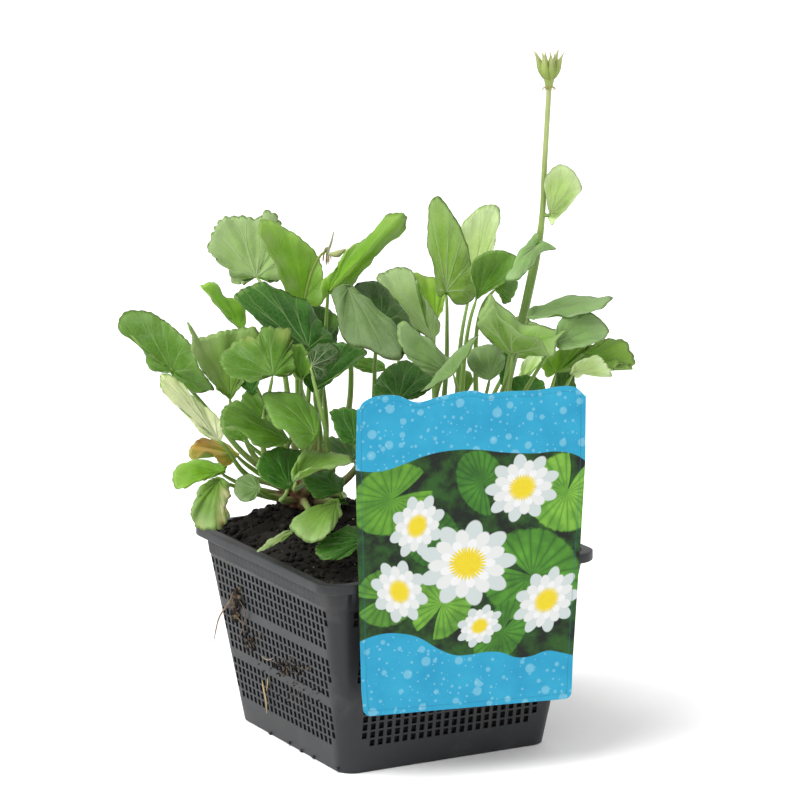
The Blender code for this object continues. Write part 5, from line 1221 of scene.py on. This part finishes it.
def makeDebris(rootFinish, peatFinish, shootFinish):
    draw = np.random.default_rng(31)
    roots = []
    for pixels, radius, code in debris["roots"]:
        path = smoothPath(wallPoint(pixels, radius + 0.5) + draw.uniform(-0.4, 0.4, (len(pixels), 3)) * mm,
                          24)
        wide = np.interp(np.linspace(0, 1, 24), [0, 0.2, 0.8, 1], [0.4, 1.0, 0.8, 0.3]) * radius
        roots.append(tubePatch(path, wide * mm, 8, linearColour(code), 0, squash=0.7))
    meshPiece("rootsAndStraw", roots, [rootFinish], ())
    crumbs = []
    tones = np.array([linearColour(code) for code in ("#1E1813", "#3A2E24", "#14100D", "#6A5A46")])
    for x, y, wide, tall, count, size in debris["clumps"]:
        spots = np.column_stack([draw.normal(x, wide / 2, count), draw.normal(y, tall / 2, count)])
        radii = size * draw.uniform(0.3, 1.3, (count, 1)) * draw.uniform(0.7, 1.2, (count, 3))
        crumbs.append(ballPatch(wallPoint(spots, size * 0.4), radii * mm, 5, 7,
                                tones[draw.integers(0, 4, count)], 0, 0.3, draw))
    meshPiece("clingingPeat", crumbs, [peatFinish], ())
    nubs = wallPoint(debris["nubs"], 0.3)
    sizes = np.tile([[0.6, 0.9, 0.6]], (len(nubs), 1)) * mm
    nubs[:, 2] = np.maximum(nubs[:, 2], 0.65 * mm)
    tint = np.tile(linearColour(basketLook["plastic"]), (len(nubs), 1))
    meshPiece("footNubs", [ballPatch(nubs, sizes, 7, 9, tint, 0, 0.05, draw)],
              [bpy.data.materials["mouldedPolypropylene"]],
              ())
    shoot = photoPoint([(314, 566, -36), (311, 572, -38), (306, 576, -40), (303, 581, -42), (305, 586, -43)])
    leaflet = photoPoint([(311, 572, -38), (303, 569, -40), (298, 572, -41)])
    meshPiece("rimShoot", [
        tubePatch(smoothPath(shoot, 20), np.interp(np.linspace(0, 1, 20), [0, 0.3, 0.7, 1],
                                                   [0.3, 0.7, 1.4, 0.3]) * mm, 10,
                  linearColour("#B4C850"), 0, squash=0.6),
        tubePatch(smoothPath(leaflet, 12), np.interp(np.linspace(0, 1, 12), [0, 0.5, 1], [0.4, 1.1, 0.2])
                  * mm, 10,
                  linearColour("#9CB848"), 0, squash=0.5)], [shootFinish], ())


makeDebris(bpy.data.materials["driedSheath"], bpy.data.materials["sievedPeat"], stemFinish)
print("debris made")


# card
card = dict(start=(-48.5, -61.3), turn=-11.0, thickness=0.6, columns=81, rows=61, bow=0.5,
            top=[(0.8, 147.4), (2.6, 150.0), (7.5, 151.9), (15.7, 151.7), (23.9, 148.6), (33.0, 150.3),
                 (44.9, 151.8),
                 (52.0, 150.1), (59.2, 150.6), (71.2, 150.3), (80.4, 151.2), (86.9, 150.6), (91.2, 146.9)],
            left=[(28.0, 3.0), (38.4, 2.1), (80.0, 1.0), (124.0, 0.0), (152.0, 0.7)],
            right=[(28.0, 86.6), (44.3, 87.1), (90.0, 89.8), (121.0, 91.4), (152.0, 91.4)], foot=28.0,
            footCorner=2.7,
            upperBand=[(0, 124.1), (9.4, 123.1), (18.4, 125.2), (27.5, 128.0), (36.6, 129.3), (48.5, 128.9),
                       (57.7, 127.3), (71.4, 126.0), (80.7, 126.0), (88.2, 123.9), (91.6, 121.0)],
            lowerBand=[(0, 57.0), (9.3, 59.8), (17.6, 59.5), (24.8, 57.3), (33.2, 51.9), (39.6, 49.2),
                       (45.3, 49.0),
                       (52.5, 49.5), (58.2, 48.7), (63.7, 46.4), (69.1, 46.2), (76.9, 47.9), (82.2, 46.7),
                       (91.6, 43.5)],
            hookMiddle=42.0, hookWidth=20.0)


def printedCard():
    # Offset-printed polystyrene card under a clear varnish: saturated ink, smooth, a soft even gloss
    finish, tree = newFinish("printedPlasticCard")
    place = addNode(tree, "UVMap", uv_map="surface")[0]
    point = addNode(tree, "VectorMath", {0: place, 3: 100.0}, operation="SCALE")[0]  # mm on the card
    at = addNode(tree, "SeparateXYZ", {0: point})

    def polar(x, y, size, turn, squash=1.0):
        # own radius (1 at the shape's edge) and angle round a point of the card
        own = addNode(tree, "Mapping", {"Vector": point, "Location": (x, y, 0), "Rotation": (0, 0, turn),
                                        "Scale": (size, size * squash, 1.0)}, vector_type="TEXTURE")[0]
        parts = addNode(tree, "SeparateXYZ", {0: own})
        radius = addNode(tree, "VectorMath", {0: own}, operation="LENGTH")["Value"]
        angle = addNode(tree, "Math", {0: parts["Y"], 1: parts["X"]}, operation="ARCTAN2")[0]
        return radius, angle

    def wave(angle, count, shift, power):
        # |cos(count / 2 (angle + shift))| to a power: one lobe for each petal
        turned = addNode(tree, "Math", {0: angle, 1: count / 2, 2: shift}, operation="MULTIPLY_ADD")[0]
        lobe = addNode(tree, "Math", {0: turned}, operation="COSINE")[0]
        lobe = addNode(tree, "Math", {0: lobe}, operation="ABSOLUTE")[0]
        return addNode(tree, "Math", {0: lobe, 1: power}, operation="POWER")[0]

    leafNoise = addNode(tree, "TexNoise", {"Vector": point, "Scale": 1 / 9.0, "Detail": 4.0,
                                           "Roughness": 0.6})[0]
    fineNoise = addNode(tree, "TexNoise", {"Vector": point, "Scale": 1 / 1.6, "Detail": 3.0})[0]
    deep = addNode(tree, "MapRange", {"Value": leafNoise, "From Min": 0.4, "From Max": 0.62})[0]
    field = addNode(tree, "Mix", {0: deep, 6: rgba("#0B1A0A"), 7: rgba("#2C5E1C")}, data_type="RGBA")[2]
    for x, y, size, turn, squash, low, high in cardPrint["pads"]:
        radius, angle = polar(x, y, size, turn, squash)
        slit = addNode(tree, "Math", {0: angle}, operation="ABSOLUTE")[0]
        slit = addNode(tree, "MapRange", {"Value": slit, "From Min": 0.0, "From Max": 0.32, "To Min": 1.2,
                                          "To Max": 0.0})[0]
        wavy = addNode(tree, "Math", {0: fineNoise, 1: 0.12, 2: radius}, operation="MULTIPLY_ADD")[0]
        size2 = addNode(tree, "Math", {0: wavy, 1: slit}, operation="ADD")[0]
        mask = addNode(tree, "MapRange", {"Value": size2, "From Min": 1.0, "From Max": 1.05, "To Min": 1.0,
                                          "To Max": 0.0})[0]
        ribs = wave(angle, 22, 0.3, 0.35)
        tone = addNode(tree, "Math", {0: leafNoise, 1: 1.5, 2: -0.25}, operation="MULTIPLY_ADD")[0]
        tone = addNode(tree, "Math", {0: tone, 1: ribs}, operation="MULTIPLY", use_clamp=True)[0]
        colour = addNode(tree, "Mix", {0: tone, 6: rgba(low), 7: rgba(high)}, data_type="RGBA")[2]
        field = addNode(tree, "Mix", {0: mask, 6: field, 7: colour}, data_type="RGBA")[2]
    for x, y, size, turn, squash, petals in cardPrint["blossoms"]:
        radius, angle = polar(x, y, size, turn, squash)
        for reach, shift, light in ((1.0, 0.0, "#DCE6E4"), (0.80, 1.57, "#F4F6F4"), (0.58, 0.2, "#FFFFFF")):
            lobe = wave(angle, petals, shift, 0.62)
            edge = addNode(tree, "Math", {0: lobe, 1: reach * 0.62, 2: reach * 0.38},
                           operation="MULTIPLY_ADD")[0]
            inside = addNode(tree, "Math", {0: edge, 1: radius}, operation="SUBTRACT")[0]
            mask = addNode(tree, "MapRange", {"Value": inside, "From Min": 0.0, "From Max": 0.035})[0]
            shade = addNode(tree, "MapRange", {"Value": lobe, "From Min": 0.15, "From Max": 0.75})[0]
            petal = addNode(tree, "Mix", {0: shade, 6: rgba("#93A8A4"), 7: rgba(light)}, data_type="RGBA")[2]
            field = addNode(tree, "Mix", {0: mask, 6: field, 7: petal}, data_type="RGBA")[2]
        rays = wave(angle, 30, 0.0, 0.8)
        ray = addNode(tree, "Math", {0: rays, 1: 0.14, 2: 0.26}, operation="MULTIPLY_ADD")[0]
        inside = addNode(tree, "Math", {0: ray, 1: radius}, operation="SUBTRACT")[0]
        mask = addNode(tree, "MapRange", {"Value": inside, "From Min": 0.0, "From Max": 0.04})[0]
        tone = addNode(tree, "Math", {0: fineNoise, 1: rays}, operation="ADD", use_clamp=True)[0]
        gold = addNode(tree, "Mix", {0: tone, 6: rgba("#C08C06"), 7: rgba("#FFE62C")}, data_type="RGBA")[2]
        field = addNode(tree, "Mix", {0: mask, 6: field, 7: gold}, data_type="RGBA")[2]
    # pale blue bands with bubbles
    cloud = addNode(tree, "TexNoise", {"Vector": point, "Scale": 1 / 12.0, "Detail": 3.0})[0]
    water = addNode(tree, "Mix", {0: cloud, 6: rgba("#0C9ACB"), 7: rgba("#3CC0E6")}, data_type="RGBA")[2]
    for pitch, biggest in ((7.0, 0.30), (3.2, 0.22)):
        cell = addNode(tree, "TexVoronoi", {"Vector": point, "Scale": 1 / pitch}, voronoi_dimensions="2D")
        own = addNode(tree, "SeparateColor", {0: cell["Color"]})[0]
        limit = addNode(tree, "Math", {0: own, 1: biggest}, operation="MULTIPLY")[0]
        gap = addNode(tree, "Math", {0: limit, 1: cell["Distance"]}, operation="SUBTRACT")[0]
        mask = addNode(tree, "MapRange", {"Value": gap, "From Min": -0.02, "From Max": 0.06,
                                          "To Max": 0.42})[0]
        water = addNode(tree, "Mix", {0: mask, 6: water, 7: rgba("#A6E4F8")}, data_type="RGBA")[2]
    across = addNode(tree, "Math", {0: at["X"], 1: 1 / 92.0}, operation="MULTIPLY")[0]
    colour = field
    for curve, sign in ((card["upperBand"], 1.0), (card["lowerBand"], -1.0)):
        line = addNode(tree, "FloatCurve", {"Value": across})[0]
        mapping = line.node.mapping
        stops = mapping.curves[0].points
        for x, y in curve[1:-1]:
            stops.new(x / 92.0, y / 160.0)
        stops[0].location, stops[-1].location = (0.0, curve[0][1] / 160.0), (1.0, curve[-1][1] / 160.0)
        mapping.update()
        level = addNode(tree, "Math", {0: line, 1: 160.0}, operation="MULTIPLY")[0]
        over = addNode(tree, "Math", {0: at["Y"], 1: level}, operation="SUBTRACT")[0]
        mask = addNode(tree, "MapRange", {"Value": over, "From Min": -0.15 * sign,
                                          "From Max": 0.15 * sign})[0]
        colour = addNode(tree, "Mix", {0: mask, 6: colour, 7: water}, data_type="RGBA")[2]
    # the die's crease, a thin darker line two millimetres in from the edge, painted shade of the crease on
    # the flat card; tint holds that distance / 10
    inward = addNode(tree, "SeparateXYZ", {0: addNode(tree, "Attribute", attribute_name="tint")["Color"]})[0]
    crease = addNode(tree, "Math", {0: inward, 1: 0.2}, operation="SUBTRACT")[0]
    crease = addNode(tree, "Math", {0: crease}, operation="ABSOLUTE")[0]
    crease = addNode(tree, "MapRange", {"Value": crease, "From Min": 0.008, "From Max": 0.022,
                                        "To Min": 0.45, "To Max": 0.0})[0]
    colour = addNode(tree, "Mix", {0: crease, 6: colour, 7: rgba("#1B6C90")}, data_type="RGBA")[2]
    surface = addNode(tree, "BsdfPrincipled", {"Base Color": colour, "Roughness": 0.32, "IOR": 1.55,
                                                "Specular IOR Level": 0.2})[0]
    addNode(tree, "OutputMaterial", {"Surface": surface})
    return finish


cardPrint = dict(
    pads=[(14, 112, 17, 0.4, 0.8, "#2C6A1E", "#86C83A"), (70, 78, 21, 2.6, 0.9, "#1E5218", "#6FBF38"),
          (34, 70, 15, 4.2, 0.8, "#2A6A1C", "#9ADB4C"), (84, 110, 16, 1.2, 1.0, "#2F7A20", "#A4E050"),
          (50, 116, 14, 5.2, 0.7, "#1B4A18", "#5BA832"), (12, 74, 13, 3.3, 0.9, "#2A5E1C", "#7CC040"),
          (58, 57, 15, 0.9, 0.6, "#1F5018", "#62B034"), (30, 96, 12, 2.0, 0.9, "#1A4416", "#4E9A2C")],
    blossoms=[(66, 113, 15.5, 0.3, 0.86, 9), (24, 101, 13.0, 1.1, 0.82, 8), (44, 85, 20.0, 0.0, 0.86, 9),
              (76, 68, 15.0, 0.7, 0.80, 9), (17, 76, 13.5, 2.1, 0.8, 8), (49, 60, 10.0, 0.5, 0.8, 8)])


def makeCard():
    c = card
    turn = math.radians(c["turn"])
    along, out = (np.array([math.cos(turn), math.sin(turn), 0.0]),
                  np.array([math.sin(turn), -math.cos(turn), 0.0]))
    start = np.array([*c["start"], 0.0])
    u = 0.5 - 0.5 * np.cos(np.pi * np.linspace(0, 1, c["columns"])) * (0.55 + 0.45 * 1.0)
    u = 0.35 * np.linspace(0, 1, c["columns"]) + 0.65 * u
    v = np.linspace(0, 1, c["rows"])[:, None]
    top, left, rightEdge = (np.array(c[key]) for key in ("top", "left", "right"))
    topX = top[:, 0] / top[-1, 0]
    dense = smoothPath(np.column_stack([top, np.zeros(len(top))]), 200)
    topZ = np.interp(u * 91.4, dense[:, 0], dense[:, 1])
    toSide = np.minimum(u, 1 - u) * 84.0
    r = c["footCorner"]
    footZ = c["foot"] + np.where(toSide < r, r - np.sqrt(np.maximum(r**2 - (r - toSide) ** 2, 0)), 0.0)
    z = footZ[None] + v * (topZ - footZ)[None]
    xLeft, xRight = np.interp(z, left[:, 0], left[:, 1]), np.interp(z, rightEdge[:, 0], rightEdge[:, 1])
    x = xLeft + u[None] * (xRight - xLeft)
    bow = c["bow"] * np.sin(np.pi * u)[None] * np.sin(np.pi * v)
    plane = start + x[..., None] * along + z[..., None] * up
    front = (plane + out * (c["thickness"] + bow)[..., None]) * mm
    back = (plane + out * bow[..., None]) * mm
    uv = np.stack([x, z], axis=-1) / 100
    loop = [np.concatenate([g[0], g[1:, -1], g[-1, -2::-1], g[-2::-1, 0]]) for g in (front, back)]
    loopUv = np.concatenate([uv[0], uv[1:, -1], uv[-1, -2::-1], uv[-2::-1, 0]])
    inward = np.minimum(np.minimum(x - xLeft, xRight - x), np.minimum(z - c["foot"], topZ[None] - z))
    patches = [gridPatch(front, uv, np.repeat(inward[..., None] / 10, 3, axis=-1)),
               gridPatch(back, uv, 0.5, slot=1, flip=True),
               gridPatch(np.stack(loop[::-1]), np.stack([loopUv, loopUv]), 0.5)]
    # the hook: a strip over the rim, its section carried along the card's width
    inner = 0.8 - (basket["rimHalf"] - basket["rimLedge"]) - (start + along * c["hookMiddle"])[1]
    over = basket["height"] + 0.8
    middle = np.array([(-0.1, over + 0.5), (inner - 1.5, over + 0.5), (inner - 0.2, over + 0.1),
                       (inner + 0.4, over - 1.2),
                       (inner + 2.1, over - 12.0)])
    line = smoothPath(np.column_stack([middle, np.zeros(len(middle))]), 24)[:, :2]
    ahead = unit(np.gradient(line, axis=0))
    side = np.column_stack([-ahead[:, 1], ahead[:, 0]]) * 0.4
    section = np.concatenate([line + side, (line - side)[::-1], (line + side)[:1]])
    ends = np.linspace(-c["hookWidth"] / 2, c["hookWidth"] / 2, 2)[:, None]
    hook = start + along * c["hookMiddle"] + np.stack(np.broadcast_arrays(ends,
        section[None, :, 0] + (section[None, :, 0] < 0)
                                                      * ends * along[1] / along[0], section[None, :, 1]),
                                                      axis=-1)
    half = len(line)
    caps = [np.stack([row[:half], row[half:2 * half][::-1]]) for row in hook]
    patches += [gridPatch(hook * mm, 0.0, 0.5, slot=1), gridPatch(caps[0] * mm, 0.0, 0.5, slot=1),
                gridPatch(caps[1] * mm, 0.0, 0.5, slot=1, flip=True)]
    # the unprinted white back of the card, smooth polystyrene
    backFinish, tree = newFinish("barePlasticCard")
    place = addNode(tree, "TexCoord")["Object"]
    faint = addNode(tree, "TexNoise", {"Vector": place, "Scale": 1 / (14 * mm), "Detail": 2.0})[0]
    white = addNode(tree, "Mix", {0: faint, 6: rgba("#E4E6E4"), 7: rgba("#F2F3F1")}, data_type="RGBA")[2]
    shader = addNode(tree, "BsdfPrincipled", {"Base Color": white, "Roughness": 0.4})[0]
    addNode(tree, "OutputMaterial", {"Surface": shader})
    meshPiece("plantCard", patches, [printedCard(), backFinish], ["label"], sharpAngle=40)


makeCard()
print("card made")
